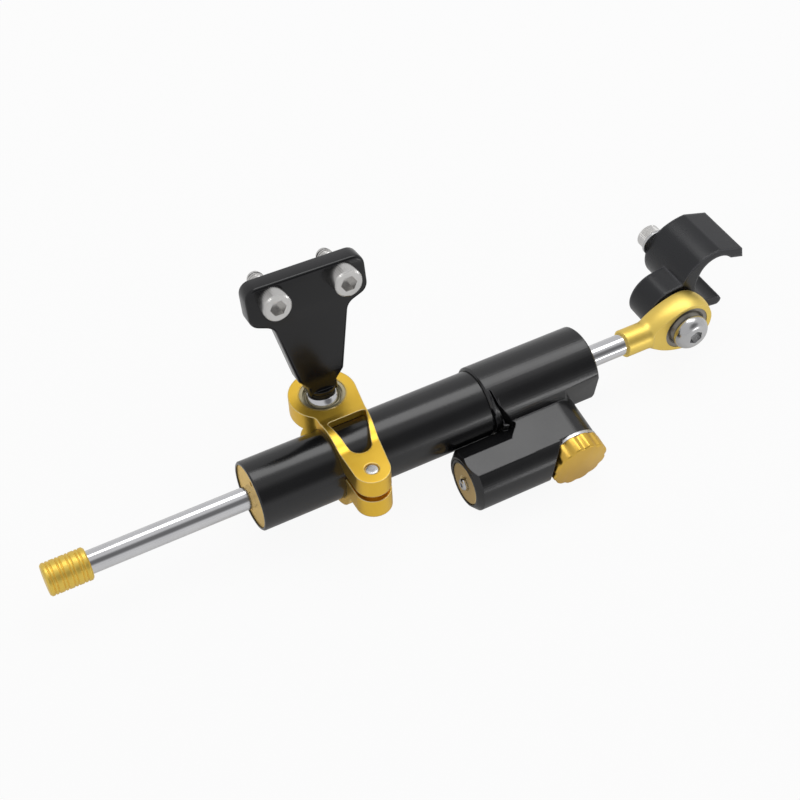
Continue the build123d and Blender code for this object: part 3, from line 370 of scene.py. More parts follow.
# Bushes, seals and slide ring inside. Sintered bronze bushes, nitrile rubber lips and rings, and
# a filled plastic ring on the piston.
sintered_bronze = worked_metal(
    "sintered bronze",
    colour=(0.42, 0.27, 0.12),
    other=(0.55, 0.37, 0.18),
    rough=(0.36, 0.52),
    marks=(3500.0, 3500.0, 3500.0),
    wear_and_highlight=(0.0002, 2.0, (0.75, 0.55, 0.30)),
    shader=plain_metal,
)
seal_rubber = worked_metal(
    "nitrile rubber",
    colour=(0.012, 0.012, 0.012),
    other=(0.020, 0.020, 0.020),
    rough=(0.50, 0.68),
    marks=(1500.0, 1500.0, 1500.0),
    wear_and_highlight=(0.0002, 1.0, (0.05, 0.05, 0.05)),
    shader={"Metallic": 0.0, "IOR": 1.5},
)
slide_plastic = worked_metal(
    "filled slide plastic",
    colour=(0.030, 0.028, 0.024),
    other=(0.055, 0.050, 0.042),
    rough=(0.40, 0.55),
    marks=(2500.0, 400.0, 400.0),
    wear_and_highlight=(0.0002, 1.0, (0.12, 0.11, 0.10)),
    shader={"Metallic": 0.0, "IOR": 1.45},
)
finish_nodes(sintered_bronze, "front_bush", "rear_bush")
finish_nodes(seal_rubber, "front_seal", "rear_seal", "plug_ring", "gas_piston_ring")
finish_nodes(slide_plastic, "piston_ring")

# Hook bracket. An open C sawn from an extruded aluminium bar and anodised satin charcoal black;
# the die's long faint lines run the way the C is long.
# Its edges and creases are painted paler over a wide band, a painted highlight along its crests
hook_black = worked_metal(
    "satin charcoal hook",
    colour=(0.0055, 0.0062, 0.0080),
    other=(0.0085, 0.0092, 0.0115),
    rough=(0.22, 0.30),
    marks=(2400.0, 120.0, 2400.0),
    wear_and_highlight=(0.0014, 4.0, (0.10, 0.10, 0.11)),
    shader={"Metallic": 0.0, "IOR": 1.52},
)
finish_nodes(hook_black, "hook_bracket")

# Knob. Gold anodised aluminium, turned with a rounded rim and milled with twelve shallow flutes
# round it. Its face is plain.


def size_sockets(tree, sizes):
    """Give a geometry tree its named inputs and one geometry output"""
    kinds = {int: "NodeSocketInt", float: "NodeSocketFloat"}
    for label, value in sizes.items():
        socket = tree.interface.new_socket(label, in_out="INPUT", socket_type=kinds[type(value)])
        socket.default_value = value
    tree.interface.new_socket("Finish", in_out="INPUT", socket_type="NodeSocketMaterial")
    tree.interface.new_socket("Geometry", in_out="OUTPUT", socket_type="NodeSocketGeometry")


def placed(tree, kind, links=(), **settings):
    """A geometry node with its settings and its inputs linked or set by name or number"""
    node = tree.nodes.new(kind)
    for label, value in settings.items():
        setattr(node, label, value)
    for label, value in dict(links).items():
        if isinstance(value, bpy.types.NodeSocket):
            tree.links.new(value, node.inputs[label])
        else:
            node.inputs[label].default_value = value
    return node


def dressed(tree, geometry, finish):
    """End a tree: make its instances real, give it its finish and lead it out"""
    real = placed(tree, "GeometryNodeRealizeInstances", {"Geometry": geometry})
    finished = placed(
        tree, "GeometryNodeSetMaterial", {"Geometry": real.outputs[0], "Material": finish}
    )
    way_out = tree.nodes.new("NodeGroupOutput")
    tree.links.new(finished.outputs[0], way_out.inputs[0])


def plain_mesh(thing):
    """The mesh of an object as its modifiers or its curve make it"""
    graph = bpy.context.evaluated_depsgraph_get()
    return bpy.data.meshes.new_from_object(thing.evaluated_get(graph), depsgraph=graph)


def grown(name, tree, sizes, material, place):
    """Grow a tree into a plain mesh object and put its place into the mesh"""
    carrier = bpy.data.objects.new(name + "_tree", bpy.data.meshes.new(name + "_tree"))
    bpy.context.scene.collection.objects.link(carrier)
    grower = carrier.modifiers.new("grower", "NODES")
    grower.node_group = tree
    for item in tree.interface.items_tree:
        if item.in_out == "INPUT" and item.name in sizes:
            grower[item.identifier] = sizes[item.name]
        elif item.in_out == "INPUT" and item.name == "Finish":
            grower[item.identifier] = material
    mesh = plain_mesh(carrier)
    bpy.data.objects.remove(carrier)
    return placed_mesh(name, mesh, place)


def placed_mesh(name, mesh, place, crease=35.0):
    """A mesh as an object at the origin, smooth but for its creases"""
    mesh.transform(place)
    mesh.name = name
    mesh.shade_smooth()
    mesh.set_sharp_from_angle(angle=radians(crease))
    made = bpy.data.objects.new(name, mesh)
    bpy.context.scene.collection.objects.link(made)
    return made


def frame_of(origin, across, up):
    """The matrix that puts local Z along up and local X along across, at origin"""
    z = Vector(up).normalized()
    x = (Vector(across) - z * z.dot(Vector(across))).normalized()
    y = z.cross(x)
    turned = Matrix((x, y, z)).transposed().to_4x4()
    return Matrix.Translation(Vector(origin)) @ turned


knob_sizes = {
    "Radius": 0.0108,
    "Thickness": 0.006,
    "Rim Round": 0.0007,
    "Flutes": 12,
    "Flute Depth": 0.0006,
    "Flute Reach": 0.0021,
}
knob_tree = bpy.data.node_groups.new("fluted knob", "GeometryNodeTree")
size_sockets(knob_tree, knob_sizes)
knob_in = knob_tree.nodes.new("NodeGroupInput").outputs
rim_line = placed(
    knob_tree, "GeometryNodeCurvePrimitiveCircle", {"Resolution": 360, "Radius": knob_in["Radius"]}
)
knob_place = knob_tree.nodes.new("GeometryNodeInputPosition").outputs[0]
knob_xyz = placed(knob_tree, "ShaderNodeSeparateXYZ", {0: knob_place}).outputs
turn_round = math_node(knob_tree, "ARCTAN2", knob_xyz[1], knob_xyz[0])
flute_turns = math_node(knob_tree, "DIVIDE", turn_round, 2 * pi)
flute_number = math_node(knob_tree, "MULTIPLY", flute_turns, knob_in["Flutes"])
nearest_flute = math_node(knob_tree, "ROUND", flute_number)
off_flute = math_node(
    knob_tree, "ABSOLUTE", math_node(knob_tree, "SUBTRACT", flute_number, nearest_flute)
)
rim_length = math_node(knob_tree, "MULTIPLY", knob_in["Radius"], 2 * pi)
flute_pitch = math_node(knob_tree, "DIVIDE", rim_length, knob_in["Flutes"])
off_metres = math_node(knob_tree, "MULTIPLY", off_flute, flute_pitch)
flute_cut = placed(
    knob_tree,
    "ShaderNodeMapRange",
    {"Value": off_metres, "From Min": 0.0, "From Max": knob_in["Flute Reach"]},
    interpolation_type="SMOOTHSTEP",
)
knob_tree.links.new(knob_in["Flute Depth"], flute_cut.inputs["To Min"])
flute_cut.inputs["To Max"].default_value = 0.0
outward = placed(
    knob_tree, "ShaderNodeVectorMath", {0: knob_place}, operation="NORMALIZE"
).outputs[0]
inset = math_node(knob_tree, "MULTIPLY", flute_cut.outputs[0], -1.0)
inset_way = placed(
    knob_tree, "ShaderNodeVectorMath", {0: outward, "Scale": inset}, operation="SCALE"
)
fluted_line = placed(
    knob_tree,
    "GeometryNodeSetPosition",
    {"Geometry": rim_line.outputs[0], "Offset": inset_way.outputs[0]},
)
under_face = placed(
    knob_tree, "GeometryNodeFillCurve", {"Curve": fluted_line.outputs[0]}, mode="NGONS"
).outputs[0]
wall_height = math_node(knob_tree, "SUBTRACT", knob_in["Thickness"], knob_in["Rim Round"])
knob_wall = placed(
    knob_tree,
    "GeometryNodeExtrudeMesh",
    {"Mesh": under_face, "Offset Scale": wall_height, "Individual": False},
)
knob_mesh, knob_top = knob_wall.outputs["Mesh"], knob_wall.outputs["Top"]
rim_angles = (0.0, 30.0, 60.0, 90.0)
for low, high in zip(rim_angles, rim_angles[1:]):
    rise = math_node(
        knob_tree, "MULTIPLY", knob_in["Rim Round"], sin(radians(high)) - sin(radians(low))
    )
    pull_in = math_node(
        knob_tree, "MULTIPLY", knob_in["Rim Round"], cos(radians(high)) - cos(radians(low))
    )
    relative = math_node(knob_tree, "DIVIDE", pull_in, knob_in["Radius"])
    rim_step = placed(
        knob_tree,
        "GeometryNodeExtrudeMesh",
        {"Mesh": knob_mesh, "Selection": knob_top, "Offset Scale": rise, "Individual": False},
    )
    scaled = placed(
        knob_tree,
        "GeometryNodeScaleElements",
        {
            "Geometry": rim_step.outputs["Mesh"],
            "Selection": rim_step.outputs["Top"],
            "Scale": math_node(knob_tree, "ADD", relative, 1.0),
        },
    )
    knob_mesh, knob_top = scaled.outputs[0], rim_step.outputs["Top"]
under_flipped = placed(knob_tree, "GeometryNodeFlipFaces", {"Mesh": under_face}).outputs[0]
knob_join = placed(knob_tree, "GeometryNodeJoinGeometry")
knob_tree.links.new(knob_mesh, knob_join.inputs[0])
knob_tree.links.new(under_flipped, knob_join.inputs[0])
knob_closed = placed(
    knob_tree,
    "GeometryNodeMergeByDistance",
    {"Geometry": knob_join.outputs[0], "Distance": 0.000001},
)
dressed(knob_tree, knob_closed.outputs[0], knob_in["Finish"])

knob_gold = worked_metal(
    "knob gold",
    colour=(0.80, 0.50, 0.085),
    other=(0.86, 0.56, 0.11),
    rough=(0.28, 0.40),
    marks=(700.0, 2600.0, 700.0),
    wear_and_highlight=(0.0003, 2.0, (1.0, 0.85, 0.48)),
    shader=plain_metal,
)
knob_low, knob_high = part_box("adjuster_knob")
knob_middle = (knob_low + knob_high) / 2
knob = grown(
    "knob_fluted",
    knob_tree,
    knob_sizes,
    knob_gold,
    frame_of((knob_middle.x, knob_high.y, knob_middle.z), (1, 0, 0), (0, -1, 0)),
)
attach(knob, "knob")
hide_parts("adjuster_knob")

# Cap on the rod's free end. Gold anodised aluminium, turned from bar, with four pairs of fine
# round grooves and a broken edge at each end.
cap_sizes = {
    "Radius": 0.0057,
    "Length": 0.01478,
    "Edge": 0.0006,
    "First Pair": 0.0023,
    "Pair Pitch": 0.0033,
    "Groove Apart": 0.0012,
    "Groove Width": 0.0007,
    "Groove Depth": 0.00032,
}
cap_tree = bpy.data.node_groups.new("grooved cap", "GeometryNodeTree")
size_sockets(cap_tree, cap_sizes)
cap_in = cap_tree.nodes.new("NodeGroupInput").outputs
cap_bar = placed(
    cap_tree,
    "GeometryNodeMeshCylinder",
    {
        "Vertices": 72,
        "Side Segments": 148,
        "Radius": cap_in["Radius"],
        "Depth": cap_in["Length"],
    },
)
cap_place = cap_tree.nodes.new("GeometryNodeInputPosition").outputs[0]
cap_xyz = placed(cap_tree, "ShaderNodeSeparateXYZ", {0: cap_place}).outputs
half_long = math_node(cap_tree, "MULTIPLY", cap_in["Length"], 0.5)
from_end = math_node(cap_tree, "ADD", cap_xyz[2], half_long)
from_first = math_node(cap_tree, "SUBTRACT", from_end, cap_in["First Pair"])
pair_number = math_node(cap_tree, "DIVIDE", from_first, cap_in["Pair Pitch"])
last_pair = 3.0
pair_whole = math_node(cap_tree, "ROUND", pair_number)
pair_capped = math_node(cap_tree, "MINIMUM", pair_whole, last_pair)
pair_nearest = math_node(cap_tree, "MAXIMUM", pair_capped, 0.0)
pair_place = math_node(cap_tree, "MULTIPLY", pair_nearest, cap_in["Pair Pitch"])
off_pair = math_node(
    cap_tree, "ABSOLUTE", math_node(cap_tree, "SUBTRACT", from_first, pair_place)
)
half_apart = math_node(cap_tree, "MULTIPLY", cap_in["Groove Apart"], 0.5)
off_groove = math_node(
    cap_tree, "ABSOLUTE", math_node(cap_tree, "SUBTRACT", off_pair, half_apart)
)
half_wide = math_node(cap_tree, "MULTIPLY", cap_in["Groove Width"], 0.5)
groove_cut = placed(
    cap_tree,
    "ShaderNodeMapRange",
    {
        "Value": off_groove,
        "From Min": 0.0,
        "From Max": half_wide,
        "To Min": cap_in["Groove Depth"],
    },
    interpolation_type="SMOOTHSTEP",
)
groove_cut.inputs["To Max"].default_value = 0.0
to_end = math_node(
    cap_tree, "SUBTRACT", half_long, math_node(cap_tree, "ABSOLUTE", cap_xyz[2])
)
end_cut = math_node(
    cap_tree, "MAXIMUM", math_node(cap_tree, "SUBTRACT", cap_in["Edge"], to_end), 0.0
)
cap_cut = math_node(
    cap_tree, "MULTIPLY", math_node(cap_tree, "ADD", groove_cut.outputs[0], end_cut), -1.0
)
flat_way = placed(cap_tree, "ShaderNodeCombineXYZ", {0: cap_xyz[0], 1: cap_xyz[1]}).outputs[0]
flat_unit = placed(
    cap_tree, "ShaderNodeVectorMath", {0: flat_way}, operation="NORMALIZE"
).outputs[0]
cap_shift = placed(
    cap_tree, "ShaderNodeVectorMath", {0: flat_unit, "Scale": cap_cut}, operation="SCALE"
)
cap_shaped = placed(
    cap_tree,
    "GeometryNodeSetPosition",
    {"Geometry": cap_bar.outputs["Mesh"], "Offset": cap_shift.outputs[0]},
)
dressed(cap_tree, cap_shaped.outputs[0], cap_in["Finish"])

cap_gold = worked_metal(
    "cap gold",
    colour=(0.94, 0.65, 0.12),
    other=(0.98, 0.71, 0.15),
    rough=(0.34, 0.46),
    marks=round_the_rod,
    wear_and_highlight=(0.0002, 1.5, (1.0, 0.86, 0.50)),
    shader=plain_metal,
)
cap_low, cap_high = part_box("rod_cap")
rod_cap = grown(
    "rod_cap_grooved",
    cap_tree,
    cap_sizes,
    cap_gold,
    frame_of(((cap_low.x + cap_high.x) / 2, 0, 0), (0, 0, 1), (1, 0, 0)),
)
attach(rod_cap, "rod")
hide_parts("rod_cap")

# Housing. Milled from a block and anodised the same black. Its corner where the barrel goes in is
# cut away in a soft curve, which leaves a thin lip round the barrel with a dark pocket behind it,
# and the reservoir's round back runs close up to the barrel.
housing_black = worked_metal(
    "satin black housing",
    colour=(0.0055, 0.0055, 0.0060),
    other=(0.0080, 0.0080, 0.0085),
    rough=(0.19, 0.27),
    marks=(900.0, 900.0, 900.0),
    wear_and_highlight=(0.0004, 2.0, (0.12, 0.12, 0.13)),
    shader=satin_black,
)
# The CAD node has the corner square and the back 1.5 mm from the barrel, so a copy of it is cut
# and gets a rib along the back. These sizes are in millimetres
mm_in_metre = 1000
pocket_outline = [
    (46.0, -7.0),
    (50.3, -8.8),
    (50.8, -11.2),
    (52.0, -13.1),
    (53.4, -14.0),
    (55.2, -14.6),
    (55.2, -14.0),
    (53.9, -13.2),
    (52.9, -12.0),
    (52.1, -10.2),
    (51.6, -8.0),
    (51.4, -4.0),
    (52.0, -4.0),
    (52.6, -7.9),
    (54.0, -10.9),
    (56.3, -12.9),
    (57.8, -14.0),
    (57.2, -15.4),
    (55.6, -16.9),
    (54.2, -18.3),
    (53.3, -19.4),
    (46.0, -19.4),
]
pocket_floor = -6.0
pocket_top = 17.0
reservoir_centre = (-23.7, -7.0)
back_stations = ((22.0, 10.75), (82.0, 10.75))
back_sides = 128
rib_centre = (-22.57, -6.35)
rib_stations = ((33.03, 8.7), (35.03, 10.7), (58.0, 10.7))
rib_hollow = ((30.0, 9.3), (60.0, 9.3))
rib_sides = 192
rib_top = (-23.7, 2.88)
rib_bevel = (-19.62, 2.9)
rib_bevel_angle = radians(30.0)


def in_metres(*place):
    """A place that is given in millimetres"""
    return tuple(value / mm_in_metre for value in place)


def skinned(shape, rings):
    """Faces from each ring of vertices to the next, and one over each end"""
    for low, high in zip(rings, rings[1:]):
        for i in range(len(low)):
            j = (i + 1) % len(low)
            shape.faces.new((low[i], low[j], high[j], high[i]))
    shape.faces.new(rings[0])
    shape.faces.new(rings[-1])


def turned_bar(centre, stations, sides):
    """A round bar along X from its centre (y, z) and its stations (x, radius)"""
    shape = bmesh.new()
    y, z = centre
    turns = [2 * pi * i / sides for i in range(sides)]
    rings = [
        [shape.verts.new(in_metres(x, y + r * cos(a), z + r * sin(a))) for a in turns]
        for x, r in stations
    ]
    skinned(shape, rings)
    return shape


def solid(name, shape):
    """A closed shape as an object, its faces turned outward"""
    bmesh.ops.recalc_face_normals(shape, faces=shape.faces)
    mesh = bpy.data.meshes.new(name)
    shape.to_mesh(mesh)
    shape.free()
    made = bpy.data.objects.new(name, mesh)
    bpy.context.scene.collection.objects.link(made)
    return made


def combined(body, tool, operation="DIFFERENCE"):
    """Cut a tool out of a body, or weld it on, and leave the body a plain mesh"""
    cutter = body.modifiers.new("cutter", "BOOLEAN")
    cutter.operation = operation
    cutter.solver = "EXACT"
    cutter.object = tool
    body.data = plain_mesh(body)
    body.modifiers.clear()
    bpy.data.objects.remove(tool)
    return body


# Each round cuts every corner at a quarter of its sides, and two rounds make the outline soft
outline_rounds = 2
for _ in range(outline_rounds):
    rounder = []
    for here, there in zip(pocket_outline, pocket_outline[1:] + pocket_outline[:1]):
        for share in (0.25, 0.75):
            rounder.append(tuple(a + (b - a) * share for a, b in zip(here, there)))
    pocket_outline = rounder
pocket_shape = bmesh.new()
pocket_rings = [
    [pocket_shape.verts.new(in_metres(x, y, z)) for x, y in pocket_outline]
    for z in (pocket_floor, pocket_top)
]
skinned(pocket_shape, pocket_rings)
pocket = combined(
    solid("pocket", pocket_shape),
    solid("reservoir_back", turned_bar(reservoir_centre, back_stations, back_sides)),
)
rib_shape = turned_bar(rib_centre, rib_stations, rib_sides)
for (y, z), angle in ((rib_top, 0.0), (rib_bevel, rib_bevel_angle)):
    cut = bmesh.ops.bisect_plane(
        rib_shape,
        geom=rib_shape.verts[:] + rib_shape.edges[:] + rib_shape.faces[:],
        plane_co=in_metres(0, y, z),
        plane_no=(0, sin(angle), cos(angle)),
        clear_outer=True,
    )
    open_edges = [edge for edge in cut["geom_cut"] if isinstance(edge, bmesh.types.BMEdge)]
    bmesh.ops.edgeloop_fill(rib_shape, edges=open_edges)
rib = combined(
    solid("rib", rib_shape),
    solid("rib_hollow", turned_bar(reservoir_centre, rib_hollow, rib_sides)),
)
block = bmesh.new()
block.from_mesh(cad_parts["adjuster_housing"].data)
same_corner = 0.000001
bmesh.ops.remove_doubles(block, verts=block.verts, dist=same_corner)
milled = combined(combined(solid("housing_copy", block), pocket), rib, "UNION")
housing_mesh = milled.data
bpy.data.objects.remove(milled)
housing_mesh.materials.clear()
housing_mesh.materials.append(housing_black)
for face in housing_mesh.polygons:
    face.material_index = 0
housing_crease = 15.0
housing = placed_mesh(
    "housing_milled", housing_mesh, Matrix.Identity(4), crease=housing_crease
)
# The flat along the reservoir keeps its plain faces, and the rest is smooth between creases
flat_height = 0.0029
flat_slack = 0.000002
nearly_up = 0.9999
for face in housing_mesh.polygons:
    on_flat = face.normal.z > nearly_up and abs(face.center.z - flat_height) < flat_slack
    face.use_smooth = not on_flat
by_area = housing.modifiers.new("by area", "WEIGHTED_NORMAL")
by_area.keep_sharp = True
by_area.weight = 100
housing.data = plain_mesh(housing)
housing.modifiers.clear()
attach(housing, "damper")
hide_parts("adjuster_housing")

# Socket cap screws: two hold the frame bracket to the motorcycle, one sits in the far end of the
# hook bracket. Cold headed stainless steel with a knurled head, a hexagon socket and a rolled
# thread.
screw_sizes = {
    "Head Radius": 0.005,
    "Head Height": 0.006,
    "Head Edge": 0.0005,
    "Knurls": 46,
    "Knurl Depth": 0.00028,
    "Socket Radius": 0.00289,
    "Socket Depth": 0.0033,
    "Shank Radius": 0.003,
    "Length": 0.016,
    "Plain Length": 0.0076,
    "Thread Pitch": 0.001,
    "Count": 2,
    "Spacing": 0.025,
}
core_share = 0.38
ridge_share = 0.4
shank_less = 0.0001
screw_tree = bpy.data.node_groups.new("socket cap screw", "GeometryNodeTree")
size_sockets(screw_tree, screw_sizes)
screw_in = screw_tree.nodes.new("NodeGroupInput").outputs


def screw_math(operation, first, second):
    """A Math node in the screw's tree"""
    return math_node(screw_tree, operation, first, second)


def lifted(geometry, height):
    """Geometry of the screw moved along its axis"""
    way = placed(screw_tree, "ShaderNodeCombineXYZ", {2: height}).outputs[0]
    return placed(screw_tree, "GeometryNodeTransform", {"Geometry": geometry, "Translation": way})


knurl_line = placed(
    screw_tree,
    "GeometryNodeCurveStar",
    {
        "Points": screw_in["Knurls"],
        "Inner Radius": screw_math("SUBTRACT", screw_in["Head Radius"], screw_in["Knurl Depth"]),
        "Outer Radius": screw_in["Head Radius"],
    },
)
head_foot = placed(
    screw_tree, "GeometryNodeFillCurve", {"Curve": knurl_line.outputs[0]}, mode="NGONS"
).outputs[0]
head_wall = placed(
    screw_tree,
    "GeometryNodeExtrudeMesh",
    {
        "Mesh": head_foot,
        "Offset Scale": screw_math("SUBTRACT", screw_in["Head Height"], screw_in["Head Edge"]),
        "Individual": False,
    },
)
head_edge = placed(
    screw_tree,
    "GeometryNodeExtrudeMesh",
    {
        "Mesh": head_wall.outputs["Mesh"],
        "Selection": head_wall.outputs["Top"],
        "Offset Scale": screw_in["Head Edge"],
        "Individual": False,
    },
)
head_narrowed = placed(
    screw_tree,
    "GeometryNodeScaleElements",
    {
        "Geometry": head_edge.outputs["Mesh"],
        "Selection": head_edge.outputs["Top"],
        "Scale": screw_math(
            "SUBTRACT",
            1.0,
            screw_math("DIVIDE", screw_in["Head Edge"], screw_in["Head Radius"]),
        ),
    },
)
head_foot_flipped = placed(screw_tree, "GeometryNodeFlipFaces", {"Mesh": head_foot}).outputs[0]
head_join = placed(screw_tree, "GeometryNodeJoinGeometry")
screw_tree.links.new(head_narrowed.outputs[0], head_join.inputs[0])
screw_tree.links.new(head_foot_flipped, head_join.inputs[0])
head_solid = placed(
    screw_tree,
    "GeometryNodeMergeByDistance",
    {"Geometry": head_join.outputs[0], "Distance": 0.000001},
)
socket_prism = placed(
    screw_tree,
    "GeometryNodeMeshCylinder",
    {
        "Vertices": 6,
        "Radius": screw_in["Socket Radius"],
        "Depth": screw_math("MULTIPLY", screw_in["Socket Depth"], 2.0),
    },
)
socket_placed = lifted(socket_prism.outputs["Mesh"], screw_in["Head Height"])
head_socketed = placed(
    screw_tree,
    "GeometryNodeMeshBoolean",
    {0: head_solid.outputs[0], 1: socket_placed.outputs[0]},
    operation="DIFFERENCE",
    solver="EXACT",
)
core_bar = placed(
    screw_tree,
    "GeometryNodeMeshCylinder",
    {
        "Vertices": 40,
        "Radius": screw_math(
            "SUBTRACT",
            screw_in["Shank Radius"],
            screw_math("MULTIPLY", screw_in["Thread Pitch"], core_share),
        ),
        "Depth": screw_in["Length"],
    },
)
core_height = screw_math("MULTIPLY", screw_in["Length"], -0.5)
core_placed = lifted(core_bar.outputs["Mesh"], core_height)
plain_bar = placed(
    screw_tree,
    "GeometryNodeMeshCylinder",
    {
        "Vertices": 40,
        "Radius": screw_math("SUBTRACT", screw_in["Shank Radius"], shank_less),
        "Depth": screw_in["Plain Length"],
    },
)
plain_height = screw_math("MULTIPLY", screw_in["Plain Length"], -0.5)
plain_placed = lifted(plain_bar.outputs["Mesh"], plain_height)
thread_run = screw_math(
    "SUBTRACT",
    screw_math("SUBTRACT", screw_in["Length"], screw_in["Plain Length"]),
    screw_in["Thread Pitch"],
)
ridge_size = screw_math("MULTIPLY", screw_in["Thread Pitch"], ridge_share)
ridge_radius = screw_math("SUBTRACT", screw_in["Shank Radius"], ridge_size)
ridge_line = placed(
    screw_tree,
    "GeometryNodeCurveSpiral",
    {
        "Resolution": 28,
        "Rotations": screw_math("DIVIDE", thread_run, screw_in["Thread Pitch"]),
        "Start Radius": ridge_radius,
        "End Radius": ridge_radius,
        "Height": thread_run,
    },
)
ridge_profile = placed(
    screw_tree,
    "GeometryNodeCurvePrimitiveCircle",
    {"Resolution": 4, "Radius": ridge_size},
)
ridge = placed(
    screw_tree,
    "GeometryNodeCurveToMesh",
    {0: ridge_line.outputs[0], 1: ridge_profile.outputs[0], "Fill Caps": True},
)
ridge_height = screw_math(
    "ADD",
    screw_math("MULTIPLY", screw_in["Length"], -1.0),
    screw_math("MULTIPLY", screw_in["Thread Pitch"], 0.5),
)
ridge_placed = lifted(ridge.outputs[0], ridge_height)
screw_join = placed(screw_tree, "GeometryNodeJoinGeometry")
for part in (head_socketed, core_placed, plain_placed, ridge_placed):
    screw_tree.links.new(part.outputs[0], screw_join.inputs[0])
places_line = placed(
    screw_tree,
    "GeometryNodeMeshLine",
    {
        "Count": screw_in["Count"],
        "Offset": placed(screw_tree, "ShaderNodeCombineXYZ", {0: screw_in["Spacing"]}).outputs[0],
    },
)
screws_set = placed(
    screw_tree,
    "GeometryNodeInstanceOnPoints",
    {"Points": places_line.outputs[0], "Instance": screw_join.outputs[0]},
)
dressed(screw_tree, screws_set.outputs[0], screw_in["Finish"])

screw_steel = worked_metal(
    "headed stainless",
    colour=(0.70, 0.69, 0.67),
    other=(0.80, 0.79, 0.77),
    rough=(0.20, 0.32),
    marks=(1600.0, 1600.0, 1600.0),
    wear_and_highlight=(0.00004, 1.0, (0.88, 0.88, 0.87)),
    shader=plain_metal,
)
bracket_lean = radians(21.0)
bracket_spin = radians(2.0)
bolt_way = Vector((0, sin(bracket_lean), cos(bracket_lean)))
face_way = Vector((0, -cos(bracket_lean), sin(bracket_lean)))
across_way = Vector((cos(bracket_spin), 0, 0)) + face_way * sin(bracket_spin)
out_way = across_way.cross(bolt_way)
clamp_lean = radians(12.0)
eye_height = 0.0103
eye_reach = 0.019
eye_out = Vector((0, sin(clamp_lean), cos(clamp_lean)))
eye_side = Vector((0, cos(clamp_lean), -sin(clamp_lean)))
eye_centre = eye_side * eye_reach + eye_out * eye_height
foot_lift = 0.00402
foot_centre = eye_centre + bolt_way * foot_lift
bracket_thick = 0.0075
screw_height = 0.0447
seat_gap = 0.00002
seat_middle = foot_centre + bolt_way * screw_height + out_way * (bracket_thick / 2 + seat_gap)
first_screw = seat_middle - across_way * screw_sizes["Spacing"] / 2
bracket_screws = grown(
    "bracket_cap_screws",
    screw_tree,
    screw_sizes,
    screw_steel,
    frame_of(first_screw, across_way, out_way),
)
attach(bracket_screws, "frame_bracket")
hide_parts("bracket_screws")

hook_screw_sizes = dict(screw_sizes)
hook_screw_sizes.update(
    {
        "Head Radius": 0.0046,
        "Head Height": 0.005,
        "Knurls": 42,
        "Socket Radius": 0.00231,
        "Socket Depth": 0.0028,
        "Shank Radius": 0.0025,
        "Plain Length": 0.004,
        "Thread Pitch": 0.0008,
        "Count": 1,
    }
)
rod_end_lean = radians(9.4)
rod_end_x = 0.1378
hook_screw_along = 0.008
hook_screw_up = 0.0121
hook_near_face = 0.00602
hook_width = 0.0233
washer_top = 0.00102
hook_far_way = Vector((0, cos(rod_end_lean), -sin(rod_end_lean)))
hook_up_way = Vector((0, sin(rod_end_lean), cos(rod_end_lean)))
hook_screw_seat = (
    Vector((rod_end_x + hook_screw_along, 0, 0))
    + hook_up_way * hook_screw_up
    + hook_far_way * (hook_near_face + hook_width + washer_top)
)
hook_screw = grown(
    "hook_cap_screw",
    screw_tree,
    hook_screw_sizes,
    screw_steel,
    frame_of(hook_screw_seat, (1, 0, 0), hook_far_way),
)
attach(hook_screw, "hook_bracket")
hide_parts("hook_screw")

# Frame bracket. A T plate of aluminium, milled with softly rounded edges and anodised gloss
# black, on a round foot whose spigot goes down through the clamp's ball.
plate_corners = [  # place and rounding, in millimetres
    ((-5.3, 1.6), 0.6),
    ((5.3, 1.6), 0.6),
    ((5.3, 5.5), 0.8),
    ((8.3, 9.0), 1.5),
    ((13.4, 33.3), 4.5),
    ((21.2, 36.4), 4.2),
    ((21.2, 50.4), 4.2),
    ((-21.2, 50.4), 4.2),
    ((-21.2, 36.4), 4.2),
    ((-13.4, 33.3), 4.5),
    ((-8.3, 9.0), 1.5),
    ((-5.3, 5.5), 0.8),
]
plate_round = 0.0011
foot_profile = [  # place along the bolt and radius, in millimetres
    (-7.98, 2.6),
    (-7.98, 3.9),
    (-7.6, 4.0),
    (-0.1, 4.0),
    (0.0, 4.9),
    (1.5, 4.9),
    (2.2, 5.45),
    (3.2, 5.45),
]
foot_sides = 48


def rounded_corner(before, corner, after, radius, steps=6):
    """Points of the arc that rounds one corner of an outline, in metres"""
    corner = Vector(corner) / mm_in_metre
    back = (Vector(before) / mm_in_metre - corner).normalized()
    on = (Vector(after) / mm_in_metre - corner).normalized()
    half = back.angle(on) / 2
    centre = corner + (back + on).normalized() * radius / mm_in_metre / sin(half)
    start = corner + back * radius / mm_in_metre / tan(half) - centre
    end = corner + on * radius / mm_in_metre / tan(half) - centre
    sweep = start.angle_signed(end)
    return [centre + Matrix.Rotation(-sweep * i / steps, 2) @ start for i in range(steps + 1)]


outline = []
for i, (corner, radius) in enumerate(plate_corners):
    before = plate_corners[i - 1][0]
    after = plate_corners[(i + 1) % len(plate_corners)][0]
    outline += rounded_corner(before, corner, after, radius)
plate_curve = bpy.data.curves.new("frame_bracket_outline", "CURVE")
plate_curve.dimensions = "2D"
plate_curve.fill_mode = "BOTH"
plate_curve.extrude = bracket_thick / 2 - plate_round
plate_curve.bevel_depth = plate_round
plate_curve.bevel_resolution = 3
plate_curve.offset = -plate_round
spline = plate_curve.splines.new("POLY")
spline.points.add(len(outline) - 1)
for point, place in zip(spline.points, outline):
    point.co = (place.x, place.y, 0, 1)
spline.use_cyclic_u = True
plate_object = bpy.data.objects.new("frame_bracket_outline", plate_curve)
bpy.context.scene.collection.objects.link(plate_object)
plate_mesh = plain_mesh(plate_object)
bpy.data.objects.remove(plate_object)
shape = bmesh.new()
shape.from_mesh(plate_mesh)
bmesh.ops.remove_doubles(shape, verts=shape.verts, dist=2 * same_corner)
